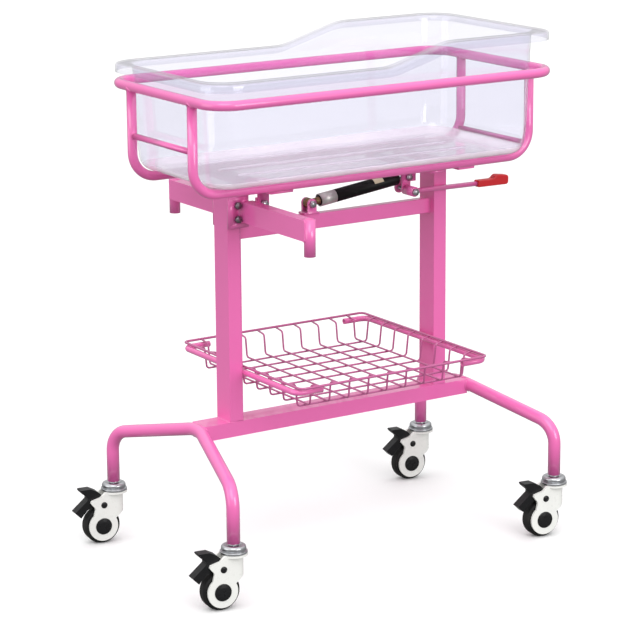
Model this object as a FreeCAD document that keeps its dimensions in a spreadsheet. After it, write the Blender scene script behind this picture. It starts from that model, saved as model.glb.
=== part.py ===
import FreeCAD, Part
import Sketcher
import math
import os
import re

# Hospital bassinet: a clear moulded tub in a tilting steel frame on a wheeled stand with a wire basket.
# Millimetres. +X towards the head end, +Y towards the rear, +Z up, z = 0 on the floor.
# The origin is on the floor under the middle of the whole outline.

V = FreeCAD.Vector
Constraint = Sketcher.Constraint

# Driving dimensions: name, value, meaning. Lengths in millimetres, angles in degrees.
SIZES = [
    ("post_spacing", 487, "posts, centre to centre"),
    ("post_width", 30, "post tube along X"),
    ("post_depth", 50, "post tube along Y"),
    ("post_top", 745, "height of the posts' open ends"),
    ("tube_wall", 2, "wall of every steel tube"),
    ("beam_width", 50, "base beam along Y"),
    ("beam_height", 30, "base beam along Z"),
    ("beam_bottom", 259, "underside of the base beam"),
    ("leg_tube_dia", 25.4, "leg tube outside diameter"),
    ("stem_spread_x", 762, "caster stems, centre to centre along X"),
    ("stem_spread_y", 468, "caster stems, centre to centre along Y"),
    ("shoulder_height", 228, "corner of the leg tube's centre line"),
    ("shoulder_bend", 48, "bend radius at a leg's shoulder"),
    ("apex_inset", 66, "how far a leg tube's middle lies inside its stems"),
    ("apex_height", 281, "centre line height at a leg tube's middle"),
    ("apex_bend", 85, "bend radius at a leg tube's middle"),
    ("cope_gap", 0.05, "clearance of a coped end to the tube it is welded to"),
    ("stretcher_width", 20, "upper stretcher along Y"),
    ("stretcher_height", 30, "upper stretcher along Z"),
    ("stretcher_bottom", 648, "underside of the upper stretcher"),
    ("arm_width", 25, "pole arm tube along X"),
    ("arm_height", 40, "pole arm tube along Z"),
    ("arm_top", 726, "top of the pole arms"),
    ("arm_plate_length", 46, "bolted plate along X"),
    ("arm_plate_height", 62, "bolted plate along Z"),
    ("arm_plate_thickness", 4, "bolted plate along Y"),
    ("arm_bolt_dia", 8, "bolts of the pole arms"),
    ("arm_bolt_pitch", 27, "bolts of the pole arms, along Z"),
    ("arm_bolt_inset", 8.5, "bolts of the pole arms from the post's inner face"),
    ("bolt_head_height", 5, "hexagon heads and nuts"),
    ("pole_spacing", 500, "pole sockets, centre to centre"),
    ("pole_tube_dia", 22, "pole socket outside diameter"),
    ("pole_bore_dia", 18, "pole socket bore"),
    ("pole_tube_length", 71, "pole socket height"),
    ("pole_tube_rise", 2, "pole socket above its arm"),
    ("pole_floor", 3, "closed bottom of a pole socket"),
    ("hinge_reach", 53.5, "tilt axis from the foot post's centre"),
    ("hinge_height", 721, "tilt axis above the floor"),
    ("hinge_pin_dia", 10, "tilt hinge bolts"),
    ("hinge_radius", 12, "round ends of the lugs and ears"),
    ("hinge_plate", 5, "thickness of lugs, ears and cross plates"),
    ("hinge_spread", 76, "inner faces of the two hinge lugs, apart"),
    ("side_gap", 0.5, "clearance between a lug and its ear"),
    ("running_gap", 0.05, "radial clearance of pins in their bores"),
    ("cross_plate_length", 50, "cross plates of the tub frame along X"),
    ("rail_length", 800, "top rail outside length"),
    ("rail_width", 420, "top rail outside width"),
    ("frame_tube_dia", 19, "top rail and long tubes"),
    ("rail_height", 944.5, "centre line of the top rail"),
    ("rail_bend", 52, "bend radius of the top rail's corners"),
    ("deck_shift", 6, "middle of the tub frame from the stand's middle"),
    ("long_tube_spacing", 229, "long tubes, centre to centre"),
    ("long_tube_height", 766.5, "centre line of the long tubes under the tub"),
    ("long_tube_bend", 50, "bend radius of the long tubes"),
    ("end_rod_dia", 12, "rods between the uprights"),
    ("foot_rod_drop", 94.5, "rod at the foot end, below the top rail"),
    ("head_rod_drop", 154.5, "rod at the head end, below the top rail"),
    ("seat_gap", 0.3, "clearance where a loose piece rests"),
    ("rest_bar_width", 40, "rest bar of the tub frame along X"),
    ("cap_thickness", 3, "cover of the post caps"),
    ("cap_depth", 12, "plug of the post caps"),
    ("plug_gap", 0.1, "clearance of the plugs in their tubes"),
    ("tub_length", 752, "tub outside, under the rim"),
    ("tub_width", 346, "tub outside, under the rim"),
    ("tub_taper", 7, "inward slope of each wall over the tub's height"),
    ("tub_corner", 52, "upright corners of the tub"),
    ("tub_floor_round", 30, "round between walls and floor"),
    ("tub_wall", 3, "wall of the tub"),
    ("rim_length", 800, "tub rim outside length"),
    ("rim_width", 410, "tub rim outside width"),
    ("rim_corner", 62, "corner radius of the rim"),
    ("rim_lip", 17, "turned-down lip of the rim"),
    ("rim_round", 5, "round of the rim's outer edge"),
    ("rim_above_rail", 39.5, "rim at the foot end, above the top rail"),
    ("rim_rise", 39, "rim at the head end above the foot end"),
    ("rim_rise_start", 4, "start of the rim's rise, from the tub's middle"),
    ("rim_rise_length", 135, "length of the rim's rise"),
    ("rim_rise_round", 150, "round at both ends of the rise"),
    ("rib_count", 4, "ribs in the tub's floor"),
    ("rib_pitch", 72, "ribs, centre to centre"),
    ("rib_length", 540, "ribs along X"),
    ("rib_width", 12, "ribs along Y"),
    ("rib_height", 3, "ribs above the tub's floor"),
    ("rib_shift", 24, "middle of the ribs from the tub's middle"),
    ("basket_length", 438, "basket rim, centre line along X"),
    ("basket_width", 440, "basket rim, centre line along Y"),
    ("basket_depth", 48, "rim to floor of the basket"),
    ("basket_lip_ends", 19, "sloping edge of the basket at its ends, inward"),
    ("basket_lip_sides", 28, "sloping edge of the basket at its sides, inward"),
    ("basket_lip_drop", 4, "sloping edge of the basket, down"),
    ("basket_taper", 5, "inward slope of the basket's sides"),
    ("basket_corner", 11, "corner radius of the basket rim"),
    ("basket_bend", 7, "bend radius of the basket's wires"),
    ("rim_wire_dia", 5, "basket rim wire"),
    ("wire_dia", 3.8, "basket wires"),
    ("wire_pitch_x", 44.5, "wires running along Y, apart"),
    ("wire_pitch_y", 48.5, "wires running along X, apart"),
    ("bracket_tube_dia", 12, "basket bracket tube"),
    ("bracket_height", 385, "centre line of the basket brackets"),
    ("bracket_inset", 10, "basket bracket's sides inside the basket's rim"),
    ("bracket_reach", 57.5, "basket bracket, centre line along X"),
    ("bracket_bend", 18, "bend radius of the basket brackets"),
    ("spring_foot_x", -56, "lower spring pin from the stand's middle"),
    ("spring_foot_height", 699, "lower spring pin above the floor"),
    ("spring_head_x", 174, "upper spring pin from the stand's middle"),
    ("spring_head_height", 728, "upper spring pin above the floor"),
    ("spring_pin_dia", 8, "pins at both ends of the gas spring"),
    ("spring_dia", 26, "gas spring cylinder"),
    ("spring_bore", 22, "gas spring bore"),
    ("spring_rod_dia", 10, "gas spring rod"),
    ("spring_tail", 19.8, "cylinder's front end from the upper pin"),
    ("spring_sleeve_start", 24, "alloy sleeve from the lower pin"),
    ("spring_sleeve_end", 60, "end of the alloy sleeve from the lower pin"),
    ("foot_eye_radius", 10, "eye on the lower pin"),
    ("foot_eye_width", 16, "eye on the lower pin along Y"),
    ("head_eye_radius", 9, "eye on the upper pin"),
    ("head_eye_width", 15, "eye on the upper pin along Y"),
    ("head_eye_slack", 1.6, "radial clearance of the upper pin in its eye"),
    ("clevis_length", 33, "spring clevis along X"),
    ("clevis_plate", 4, "plates of the spring clevis and of the release bracket"),
    ("release_bracket_length", 34, "release bracket along X"),
    ("release_bracket_width", 28, "release bracket along Y"),
    ("release_bracket_drop", 10, "release bracket below the lever's pivot"),
    ("lever_pivot_x", 168, "lever pivot from the stand's middle"),
    ("lever_pivot_height", 703, "lever pivot above the floor"),
    ("lever_side", 34, "lever's centre line in front of the stand's middle"),
    ("lever_dia", 10, "lever rod"),
    ("lever_boss_dia", 20, "boss at the lever's pivot"),
    ("lever_reach", 225, "lever pivot to the end of the lever's rod"),
    ("lever_grip_start", 159, "lever pivot to the grip"),
    ("lever_grip_length", 77, "grip along the lever"),
    ("lever_grip_dia", 17, "grip at its end"),
    ("lever_neck_length", 38, "slim part of the grip"),
    ("lever_drop", 3, "end of the lever's rod below its pivot"),
    ("caster_yaw", -8, "direction of the casters at rest"),
    ("wheel_dia", 75, "caster wheel"),
    ("wheel_width", 24, "caster tyre"),
    ("wheel_trail", 30, "wheel axle behind the stem"),
    ("hub_dia", 58, "wheel hub"),
    ("axle_dia", 8, "caster axle"),
    ("axle_head_dia", 34, "heads of the caster axle"),
    ("pin_head_height", 2.5, "heads of the caster's axle and pivot"),
    ("fork_height", 107, "top of the caster fork"),
    ("fork_plate", 4.5, "side plates of the fork"),
    ("wheel_side_gap", 1.5, "clearance between tyre and fork"),
    ("wheel_round_gap", 2.5, "clearance over the tyre in the fork"),
    ("fork_boss_radius", 27, "round top of the fork under the swivel head"),
    ("fork_lip", 4, "height of the lip round the fork's top"),
    ("fork_cover_dia", 61, "round side covers of the fork"),
    ("swivel_dia", 53, "swivel head flange"),
    ("swivel_height", 16, "swivel head"),
    ("swivel_dish", 2.5, "depth of the dish in the swivel head"),
    ("swivel_dish_dia", 26, "floor of the dish, round the nut"),
    ("stem_dia", 12, "caster stem"),
    ("stem_nut_height", 5, "caster nut in the dish"),
    ("stem_nut_width", 19, "caster nut across its flats"),
    ("stem_depth", 36, "stem inside the leg"),
    ("leg_plug_length", 42, "threaded plug in the leg"),
    ("pedal_reach", 88, "tip of the brake pedal from the stem"),
    ("pedal_width", 22, "brake pedal along the axle"),
    ("pedal_pivot_x", 28, "pedal pivot behind the stem"),
    ("pedal_pivot_height", 82, "pedal pivot above the floor"),
    ("pedal_pin_dia", 6, "pedal pivot pin"),
    ("pedal_hub_radius", 6, "pedal around its pin"),
    ("pedal_head_dia", 13, "heads of the pedal's pin"),
    ("pedal_slot_front", 19, "front of the pedal's slot behind the stem"),
    ("kingpin_dia", 10, "swivel pin in the fork"),
    ("kingpin_head_dia", 14, "head under the swivel pin"),
    ("kingpin_head_height", 3.7, "head under the swivel pin"),
    ("kingpin_seat", 76, "seat of the swivel pin's head above the floor"),
]

doc = FreeCAD.newDocument("bassinet")
sheet = doc.addObject("Spreadsheet::Sheet", "Sizes")


def write_size(row, alias, value, meaning):
    """One line of the sheet: name, plain number with its alias, meaning."""
    sheet.set(f"A{row}", alias)
    sheet.set(f"B{row}", str(value))
    sheet.set(f"C{row}", meaning)
    sheet.setAlias(f"B{row}", alias)


for index, (size_name, size_value, size_meaning) in enumerate(SIZES, start=1):
    write_size(index, size_name, size_value, size_meaning)
doc.recompute()


class SheetReader:
    """Gives a size of the sheet as a number: size.post_width."""

    def __getattr__(self, alias):
        return float(sheet.get(alias))


size = SheetReader()
yaw = math.radians(size.caster_yaw)
foot_reach = (size.stem_spread_x / 2 + size.pedal_reach * math.cos(yaw)
              + size.pedal_width / 2 * abs(math.sin(yaw)))
lever_tip = size.lever_pivot_x + size.lever_grip_start + size.lever_grip_length
head_reach = max(size.deck_shift + max(size.rail_length, size.rim_length) / 2, lever_tip,
                 size.stem_spread_x / 2 + max(size.swivel_dia / 2, size.fork_boss_radius))
DERIVED = [
    ("mid_x", (foot_reach - head_reach) / 2, "stand's middle from the origin"),
    ("rim_foot_height", size.rail_height + size.rim_above_rail, "rim at the foot end"),
    ("rim_head_height", size.rail_height + size.rim_above_rail + size.rim_rise, "rim at the head end"),
    ("foot_rod_height", size.rail_height - size.foot_rod_drop, "rod at the foot end"),
    ("head_rod_height", size.rail_height - size.head_rod_drop, "rod at the head end"),
    ("bracket_width", size.basket_width - 2 * size.bracket_inset, "basket bracket, centre line along Y"),
]
for index, (size_name, size_value, size_meaning) in enumerate(DERIVED, start=len(SIZES) + 1):
    write_size(index, size_name, size_value, size_meaning)
doc.recompute()

ALIASES = {entry[0] for entry in SIZES + DERIVED}
parts = []


def formula(text):
    """A formula in names of sizes, as an expression on the sheet."""
    return re.sub(r"[a-z_]+", lambda word: "Sizes." + word[0] if word[0] in ALIASES else word[0], text)


def bind(item, **formulas):
    """Ties properties of an object to the sheet; Base_x stands for Placement.Base.x."""
    for name, text in formulas.items():
        name = name.replace("Base_", "Placement.Base.")
        item.setExpression(name, formula(text))
    return item


def keep(item, label):
    """Names a finished sub-part and puts it on the export list."""
    item.Label = label
    parts.append(item)
    return item


# ---------------------------------------------------------------- building blocks

def new_body(label, kept=True):
    body = doc.addObject("PartDesign::Body", label)
    return keep(body, label) if kept else body


def new_sketch(body, name, role, offset="0"):
    """A sketch on one of the body's own origin planes, moved along its normal."""
    sketch = body.newObject("Sketcher::SketchObject", name)
    plane = next(item for item in body.Origin.OriginFeatures if item.Role == role)
    sketch.AttachmentSupport = (plane, [""])
    sketch.MapMode = "FlatFace"
    if offset != "0":
        sketch.setExpression("AttachmentOffset.Base.z", formula(offset))
    return sketch


def name_constraint(sketch, constraint, name, text):
    number = sketch.addConstraint(constraint)
    sketch.renameConstraint(number, name)
    sketch.setExpression("Constraints." + name, formula(text))


def add_rectangle(sketch, name, width, height):
    """A rectangle centred on the sketch's origin, with both sizes bound to the sheet."""
    first = sketch.GeometryCount
    corners = [V(-5, -5, 0), V(5, -5, 0), V(5, 5, 0), V(-5, 5, 0)]
    for step in range(4):
        sketch.addGeometry(Part.LineSegment(corners[step], corners[(step + 1) % 4]), False)
    for step in range(4):
        sketch.addConstraint(Constraint("Coincident", first + step, 2, first + (step + 1) % 4, 1))
    for step in (0, 2):
        sketch.addConstraint(Constraint("Horizontal", first + step))
        sketch.addConstraint(Constraint("Vertical", first + step + 1))
    sketch.addConstraint(Constraint("Symmetric", first, 1, first + 1, 2, -1, 1))
    name_constraint(sketch, Constraint("DistanceX", first, 1, first, 2, 10), name + "_width", width)
    name_constraint(sketch, Constraint("DistanceY", first + 1, 1, first + 1, 2, 10), name + "_height", height)


def add_circle(sketch, name, radius, across="0", up="0"):
    """A circle whose radius and centre are bound to the sheet."""
    number = sketch.addGeometry(Part.Circle(V(0, 0, 0), V(0, 0, 1), 5), False)
    name_constraint(sketch, Constraint("Radius", number, 5), name + "_radius", radius)
    if across == "0":
        sketch.addConstraint(Constraint("PointOnObject", number, 3, -2))
    else:
        name_constraint(sketch, Constraint("DistanceX", -1, 1, number, 3, 1), name + "_across", across)
    if up == "0":
        sketch.addConstraint(Constraint("PointOnObject", number, 3, -1))
    else:
        name_constraint(sketch, Constraint("DistanceY", -1, 1, number, 3, 1), name + "_up", up)


def rounded_edges(points, rounding=0.0, closed=False):
    """Lines and tangent arcs along a row of points; rounding is one radius or one per point."""
    count = len(points)
    radii = rounding if isinstance(rounding, (list, tuple)) else [rounding] * count
    starts = list(points)
    ends = list(points)
    arcs = [None] * count
    for i in range(count):
        if (not closed and i in (0, count - 1)) or radii[i] <= 0:
            continue
        back = (points[i - 1] - points[i]).normalize()
        ahead = (points[(i + 1) % count] - points[i]).normalize()
        half = back.getAngle(ahead) / 2
        reach = radii[i] / math.tan(half)
        middle = points[i] + (back + ahead).normalize() * (radii[i] / math.sin(half) - radii[i])
        starts[i] = points[i] + back * reach
        ends[i] = points[i] + ahead * reach
        arcs[i] = Part.Arc(starts[i], middle, ends[i])
    edges = []
    for i in range(count if closed else count - 1):
        following = (i + 1) % count
        if (starts[following] - ends[i]).Length > 1e-6:
            edges.append(Part.LineSegment(ends[i], starts[following]))
        if arcs[following] is not None:
            edges.append(arcs[following])
    return edges


def add_outline(sketch, points, rounding=0.0, closed=True):
    for edge in rounded_edges([V(across, up, 0) for across, up in points], rounding, closed):
        sketch.addGeometry(edge, False)


def pad(body, sketch, length, symmetric=False, downwards=False):
    feature = body.newObject("PartDesign::Pad", "Pad")
    feature.Profile = sketch
    feature.Midplane = symmetric
    feature.Reversed = downwards
    feature.setExpression("Length", formula(length))
    return feature


def pocket(body, sketch, length):
    """A cut by the same depth to both sides of its sketch."""
    feature = body.newObject("PartDesign::Pocket", "Pocket")
    feature.Profile = sketch
    feature.Midplane = True
    feature.setExpression("Length", formula(length))
    return feature


def turned(label, outline, rounding, placement, kept=True):
    """A turned piece: its half section is revolved about the body's Z axis."""
    body = new_body(label, kept)
    sketch = new_sketch(body, label + "_section", "XZ_Plane")
    add_outline(sketch, outline, rounding)
    feature = body.newObject("PartDesign::Revolution", "Revolution")
    feature.Profile = sketch
    feature.ReferenceAxis = (sketch, ["V_Axis"])
    feature.Angle = 360
    body.Placement = placement
    return body


def rect_tube(label, role, width, height, length, **base):
    """A rectangular steel tube, padded from its centred section."""
    body = new_body(label)
    sketch = new_sketch(body, label + "_section", role)
    add_rectangle(sketch, "outer", width, height)
    add_rectangle(sketch, "inner", width + " - 2*tube_wall", height + " - 2*tube_wall")
    pad(body, sketch, length, symmetric=(role != "XY_Plane"))
    return bind(body, **base)


def planar_tube(label, role, path, bend, diameter, start, **base):
    """A round tube bent in one plane; its open end at start looks along Z or X."""
    body = new_body(label)
    route = new_sketch(body, label + "_route", role)
    add_outline(route, path, bend, closed=False)
    section_role, offset, centre = start
    section = new_sketch(body, label + "_section", section_role, offset)
    for name, radius in (("outer", f"{diameter}/2"), ("inner", f"{diameter}/2 - tube_wall")):
        add_circle(section, name, radius, across=centre)
    pipe = body.newObject("PartDesign::AdditivePipe", "Pipe")
    pipe.Profile = section
    pipe.Spine = route
    return bind(body, **base)


def box(label, length, width, height, **base):
    item = doc.addObject("Part::Box", label)
    return bind(item, Length=length, Width=width, Height=height, **base)


def cylinder(label, radius, height, along="Z", **base):
    """A cylinder that starts at its base point and runs along +Y or +Z."""
    item = doc.addObject("Part::Cylinder", label)
    if along == "Y":
        item.Placement = FreeCAD.Placement(V(), FreeCAD.Rotation(V(1, 0, 0), -90))
    return bind(item, Radius=radius, Height=height, **base)


def ring(label, bend, radius, **base):
    """A round ring about an axis along Y."""
    item = doc.addObject("Part::Torus", label)
    item.Placement = FreeCAD.Placement(V(), FreeCAD.Rotation(V(1, 0, 0), -90))
    return bind(item, Radius1=bend, Radius2=radius, **base)


def hexagon(label, width, height, along="Z", **base):
    """A hexagonal nut or bolt head, its size given across the flats."""
    item = doc.addObject("Part::Prism", label)
    item.Polygon = 6
    if along == "Y":
        item.Placement = FreeCAD.Placement(V(), FreeCAD.Rotation(V(1, 0, 0), -90))
    return bind(item, Circumradius=f"({width})/sqrt(3)", Height=height, **base)


def fuse(label, *items):
    item = doc.addObject("Part::MultiFuse", label)
    item.Shapes = list(items)
    return item


def cut(label, base, *tools):
    item = doc.addObject("Part::Cut", label)
    item.Base = base
    item.Tool = tools[0] if len(tools) == 1 else fuse(label + "_tools", *tools)
    return item


def group(label, items):
    """Small pieces that share one node, as separate solids."""
    item = doc.addObject("Part::Compound", label)
    item.Links = list(items)
    return keep(item, label)


def shaped(label, shape):
    """A sub-part whose shape comes from Part's own functions."""
    item = doc.addObject("Part::Feature", label)
    item.Shape = shape
    return keep(item, label)


def swept(points, bend, radius, closed=False):
    """A round bar along straight runs joined by tangent arcs."""
    path = Part.Wire([edge.toShape() for edge in rounded_edges(points, bend, closed)])
    start = path.Edges[0]
    at = start.valueAt(start.FirstParameter)
    along = start.tangentAt(start.FirstParameter)
    section = Part.Wire([Part.makeCircle(radius, at, along)])
    return path.makePipeShell([section], True, False)


def bent_tube(points, bend, diameter, closed=False):
    """A bent round steel tube with open ends, or a closed ring of it."""
    outside = swept(points, bend, diameter / 2, closed)
    return outside.cut(swept(points, bend, diameter / 2 - size.tube_wall, closed))


def eye_bolt_set(label, diameter, half_length, head_width, x, z, both_ends=True):
    """A bolt along Y through the stand's middle plane, with a hexagon head and a nut."""
    pieces = [cylinder(label + "_shank", f"{diameter}/2", f"2*({half_length})", "Y",
                       Base_x=x, Base_y=f"-1*({half_length})", Base_z=z)]
    pieces.append(hexagon(label + "_head", head_width, "bolt_head_height", "Y",
                          Base_x=x, Base_y=f"-1*({half_length}) - bolt_head_height", Base_z=z))
    pieces.append(hexagon(label + "_nut", head_width, "bolt_head_height", "Y",
                          Base_x=x, Base_y=half_length, Base_z=z))
    return fuse(label, *pieces)


def tongue(label, x, z, radius, bore, y, thickness, far_x=None, far_z=None):
    """A plate across Y, round about a bore at (x, z), that reaches to far_x or up or down to far_z."""
    round_end = cylinder(label + "_round", radius, thickness, "Y", Base_x=x, Base_y=y, Base_z=z)
    if far_x is not None:
        strip = box(label + "_strip", f"{x} - ({far_x})", thickness, f"2*({radius})",
                    Base_x=far_x, Base_y=y, Base_z=f"{z} - ({radius})")
    elif far_z[0] == "up":
        strip = box(label + "_strip", f"2*({radius})", thickness, f"{far_z[1]} - ({z})",
                    Base_x=f"{x} - ({radius})", Base_y=y, Base_z=z)
    else:
        strip = box(label + "_strip", f"2*({radius})", thickness, f"{z} - ({far_z[1]})",
                    Base_x=f"{x} - ({radius})", Base_y=y, Base_z=far_z[1])
    hole = cylinder(label + "_hole", bore, f"3*({thickness})", "Y",
                    Base_x=x, Base_y=f"{y} - ({thickness})", Base_z=z)
    return cut(label, fuse(label + "_plate", round_end, strip), hole)


# ---------------------------------------------------------------- base and posts

MID = size.mid_x
HALF_X = size.stem_spread_x / 2
HALF_Y = size.stem_spread_y / 2
LEG_BOTTOM = (size.fork_height + size.seat_gap + size.swivel_height - size.swivel_dish
              + size.stem_nut_height)
LEG_BENDS = [0, size.shoulder_bend, size.apex_bend, size.shoulder_bend, 0]
CORNERS = {"foot_front": (-1, -1), "foot_rear": (-1, 1), "head_front": (1, -1), "head_rear": (1, 1)}
SIDES = {"front": -1, "rear": 1}
FOOT_POST = "mid_x - post_spacing/2"
HEAD_POST = "mid_x + post_spacing/2"
POST_BASE = "beam_bottom + beam_height"
ARM_X = "mid_x - post_spacing/2 + post_width/2 + arm_width/2"
ARM_FACE = "mid_x - post_spacing/2 + post_width/2 + arm_width"
ARM_MIDDLE = "(arm_top - arm_height/2)"
ARM_START = "(post_depth/2 + arm_plate_thickness)"
LONG_TUBE_BOTTOM = "long_tube_height - frame_tube_dia/2"
PLATE_BOTTOM = "(long_tube_height - frame_tube_dia/2 - hinge_plate)"
HINGE_X = "(mid_x - post_spacing/2 + hinge_reach)"
PIN_BORE = "hinge_pin_dia/2 + running_gap"


def leg_points(side):
    """Centre line of one end's leg: stem, shoulder, middle, shoulder, stem."""
    outer = MID + side * HALF_X
    middle = MID + side * (HALF_X - size.apex_inset)
    return [V(outer, -HALF_Y, LEG_BOTTOM), V(outer, -HALF_Y, size.shoulder_height),
            V(middle, 0, size.apex_height), V(outer, HALF_Y, size.shoulder_height),
            V(outer, HALF_Y, LEG_BOTTOM)]


def make_legs():
    for name, side in (("foot", -1), ("head", 1)):
        shaped("leg_tube_" + name, bent_tube(leg_points(side), LEG_BENDS, size.leg_tube_dia))


def make_leg_plugs():
    """Threaded plugs that hold the caster stems in the legs' open ends."""
    plugs = []
    for corner, (side_x, side_y) in CORNERS.items():
        body = new_body("leg_plug_" + corner, kept=False)
        section = new_sketch(body, "leg_plug_section_" + corner, "XY_Plane")
        add_circle(section, "outer", "leg_tube_dia/2 - tube_wall - plug_gap")
        add_circle(section, "inner", "stem_dia/2 + running_gap")
        pad(body, section, "leg_plug_length")
        bind(body, Base_x=f"mid_x + {side_x}*stem_spread_x/2", Base_y=f"{side_y}*stem_spread_y/2",
             Base_z="fork_height + seat_gap + swivel_height - swivel_dish + stem_nut_height")
        plugs.append(body)
    group("leg_plugs", plugs)


def make_base_beam():
    """The beam between the two legs, its ends coped around their tubes."""
    width = size.beam_width
    height = size.beam_height
    wall = size.tube_wall
    length = size.stem_spread_x - 2 * size.apex_inset
    corner = V(MID - length / 2, -width / 2, size.beam_bottom)
    outside = Part.makeBox(length, width, height, corner)
    inside = Part.makeBox(length, width - 2 * wall, height - 2 * wall, corner + V(0, wall, wall))
    beam = outside.cut(inside)
    for side in (-1, 1):
        beam = beam.cut(swept(leg_points(side), LEG_BENDS, size.leg_tube_dia / 2 + size.cope_gap))
    shaped("base_beam", max(beam.Solids, key=lambda solid: solid.Volume))


def make_posts():
    height = "post_top - beam_bottom - beam_height"
    foot = rect_tube("foot_post", "XY_Plane", "post_width", "post_depth", height,
                     Base_x=FOOT_POST, Base_z=POST_BASE)
    holes = new_sketch(foot, "foot_post_bolt_holes", "XZ_Plane")
    for name, way in (("lower", -1), ("upper", 1)):
        add_circle(holes, name, "arm_bolt_dia/2 + running_gap", across="post_width/2 - arm_bolt_inset",
                   up=f"{ARM_MIDDLE} + {way}*arm_bolt_pitch/2 - beam_bottom - beam_height")
    pocket(foot, holes, "2*post_depth")
    rect_tube("head_post", "XY_Plane", "post_width", "post_depth", height,
              Base_x=HEAD_POST, Base_z=POST_BASE)
    rect_tube("upper_stretcher", "YZ_Plane", "stretcher_width", "stretcher_height",
              "post_spacing - post_width", Base_x="mid_x", Base_z="stretcher_bottom + stretcher_height/2")


def make_post_cap(label, centre, cover):
    """A plug in the post's open end under a flat cover."""
    body = new_body(label)
    plate = new_sketch(body, label + "_cover", "XY_Plane")
    add_rectangle(plate, "cover", "post_width", "post_depth")
    pad(body, plate, cover)
    plug = new_sketch(body, label + "_plug", "XY_Plane")
    inset = "2*tube_wall - 2*plug_gap"
    add_rectangle(plug, "plug", f"post_width - {inset}", f"post_depth - {inset}")
    pad(body, plug, "cap_depth", downwards=True)
    bind(body, Base_x=centre, Base_z="post_top")


# ---------------------------------------------------------------- pole arms and tilt hinge

def make_pole_arms():
    """Two arms with a socket for a pole at each outer end, bolted to the foot post."""
    length = f"(pole_spacing/2 - {ARM_START})"
    plates = []
    for name, way in SIDES.items():
        arm = rect_tube("pole_arm_" + name, "XZ_Plane", "arm_width", "arm_height", length,
                        Base_x=ARM_X, Base_y=f"{way}*({ARM_START} + {length}/2)", Base_z=ARM_MIDDLE)
        cope = new_sketch(arm, f"pole_arm_{name}_cope", "XY_Plane")
        add_circle(cope, "cope", "pole_tube_dia/2 + cope_gap", up=f"{way}*{length}/2")
        pocket(arm, cope, "3*arm_height")
        socket = new_body("pole_socket_" + name)
        tube = new_sketch(socket, f"pole_socket_{name}_outside", "XY_Plane")
        add_circle(tube, "outer", "pole_tube_dia/2")
        pad(socket, tube, "pole_tube_length")
        bore = new_sketch(socket, f"pole_socket_{name}_bore", "XY_Plane", "pole_tube_length")
        add_circle(bore, "bore", "pole_bore_dia/2")
        pocket(socket, bore, "2*(pole_tube_length - pole_floor)")
        bind(socket, Base_x=ARM_X, Base_y=f"{way}*pole_spacing/2",
             Base_z="arm_top + pole_tube_rise - pole_tube_length")
        plate = new_body("arm_plate_" + name, kept=False)
        outline = new_sketch(plate, f"arm_plate_{name}_outline", "XZ_Plane")
        add_rectangle(outline, "plate", "arm_plate_length", "arm_plate_height")
        for hole, up in (("lower", -1), ("upper", 1)):
            add_circle(outline, hole, "arm_bolt_dia/2 + running_gap",
                       across="post_width - arm_bolt_inset - arm_plate_length/2",
                       up=f"{up}*arm_bolt_pitch/2")
        pad(plate, outline, "arm_plate_thickness", symmetric=True)
        bind(plate, Base_x=f"{FOOT_POST} - post_width/2 + arm_plate_length/2",
             Base_y=f"{way}*(post_depth/2 + arm_plate_thickness/2)", Base_z=ARM_MIDDLE)
        plates.append(plate)
    group("arm_plates", plates)
    bolts = [eye_bolt_set(f"arm_bolt_{name}", "arm_bolt_dia", ARM_START, "1.6*arm_bolt_dia",
                          f"{FOOT_POST} + post_width/2 - arm_bolt_inset",
                          f"{ARM_MIDDLE} + {way}*arm_bolt_pitch/2")
             for name, way in (("lower", -1), ("upper", 1))]
    group("arm_bolts", bolts)


def make_tilt_hinge():
    """Lugs on the arms, ears under the tub frame outside them, and a bolt through each pair."""
    lugs = []
    ears = []
    bolts = []
    bracket = box("hinge_cross_plate", "cross_plate_length", "long_tube_spacing", "hinge_plate",
                  Base_x=f"{HINGE_X} - cross_plate_length/2", Base_y="-1*long_tube_spacing/2",
                  Base_z=PLATE_BOTTOM)
    for name, way in SIDES.items():
        near = -1 if way < 0 else 0
        lugs.append(tongue("hinge_lug_" + name, HINGE_X, "hinge_height", "hinge_radius", PIN_BORE,
                           f"{way}*hinge_spread/2 + {near}*hinge_plate", "hinge_plate", far_x=ARM_FACE))
        ear_y = f"{way}*(hinge_spread/2 + hinge_plate + side_gap) + {near}*hinge_plate"
        ears.append(tongue("hinge_ear_" + name, HINGE_X, "hinge_height", "hinge_radius", PIN_BORE,
                           ear_y, "hinge_plate", far_z=("up", PLATE_BOTTOM)))
        reach = "(2*hinge_plate + 3*side_gap)"
        shank_y = f"{way}*(hinge_spread/2 - side_gap) + {near}*{reach}"
        shank = cylinder(f"hinge_bolt_{name}_shank", "hinge_pin_dia/2", reach, "Y",
                         Base_x=HINGE_X, Base_y=shank_y, Base_z="hinge_height")
        inner_y = f"{way}*(hinge_spread/2 - side_gap) + {-1 - near}*bolt_head_height"
        outer_y = f"{way}*(hinge_spread/2 - side_gap + {reach}) + {near}*bolt_head_height"
        heads = [hexagon(f"hinge_bolt_{name}_{end}", "1.5*hinge_pin_dia", "bolt_head_height", "Y",
                         Base_x=HINGE_X, Base_y=y, Base_z="hinge_height")
                 for end, y in (("nut", inner_y), ("head", outer_y))]
        bolts.append(fuse("hinge_bolt_" + name, shank, *heads))
    group("hinge_lugs", lugs)
    group("hinge_bolts", bolts)
    keep(fuse("hinge_bracket", bracket, *ears), "hinge_bracket")


# ---------------------------------------------------------------- tub frame

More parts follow.
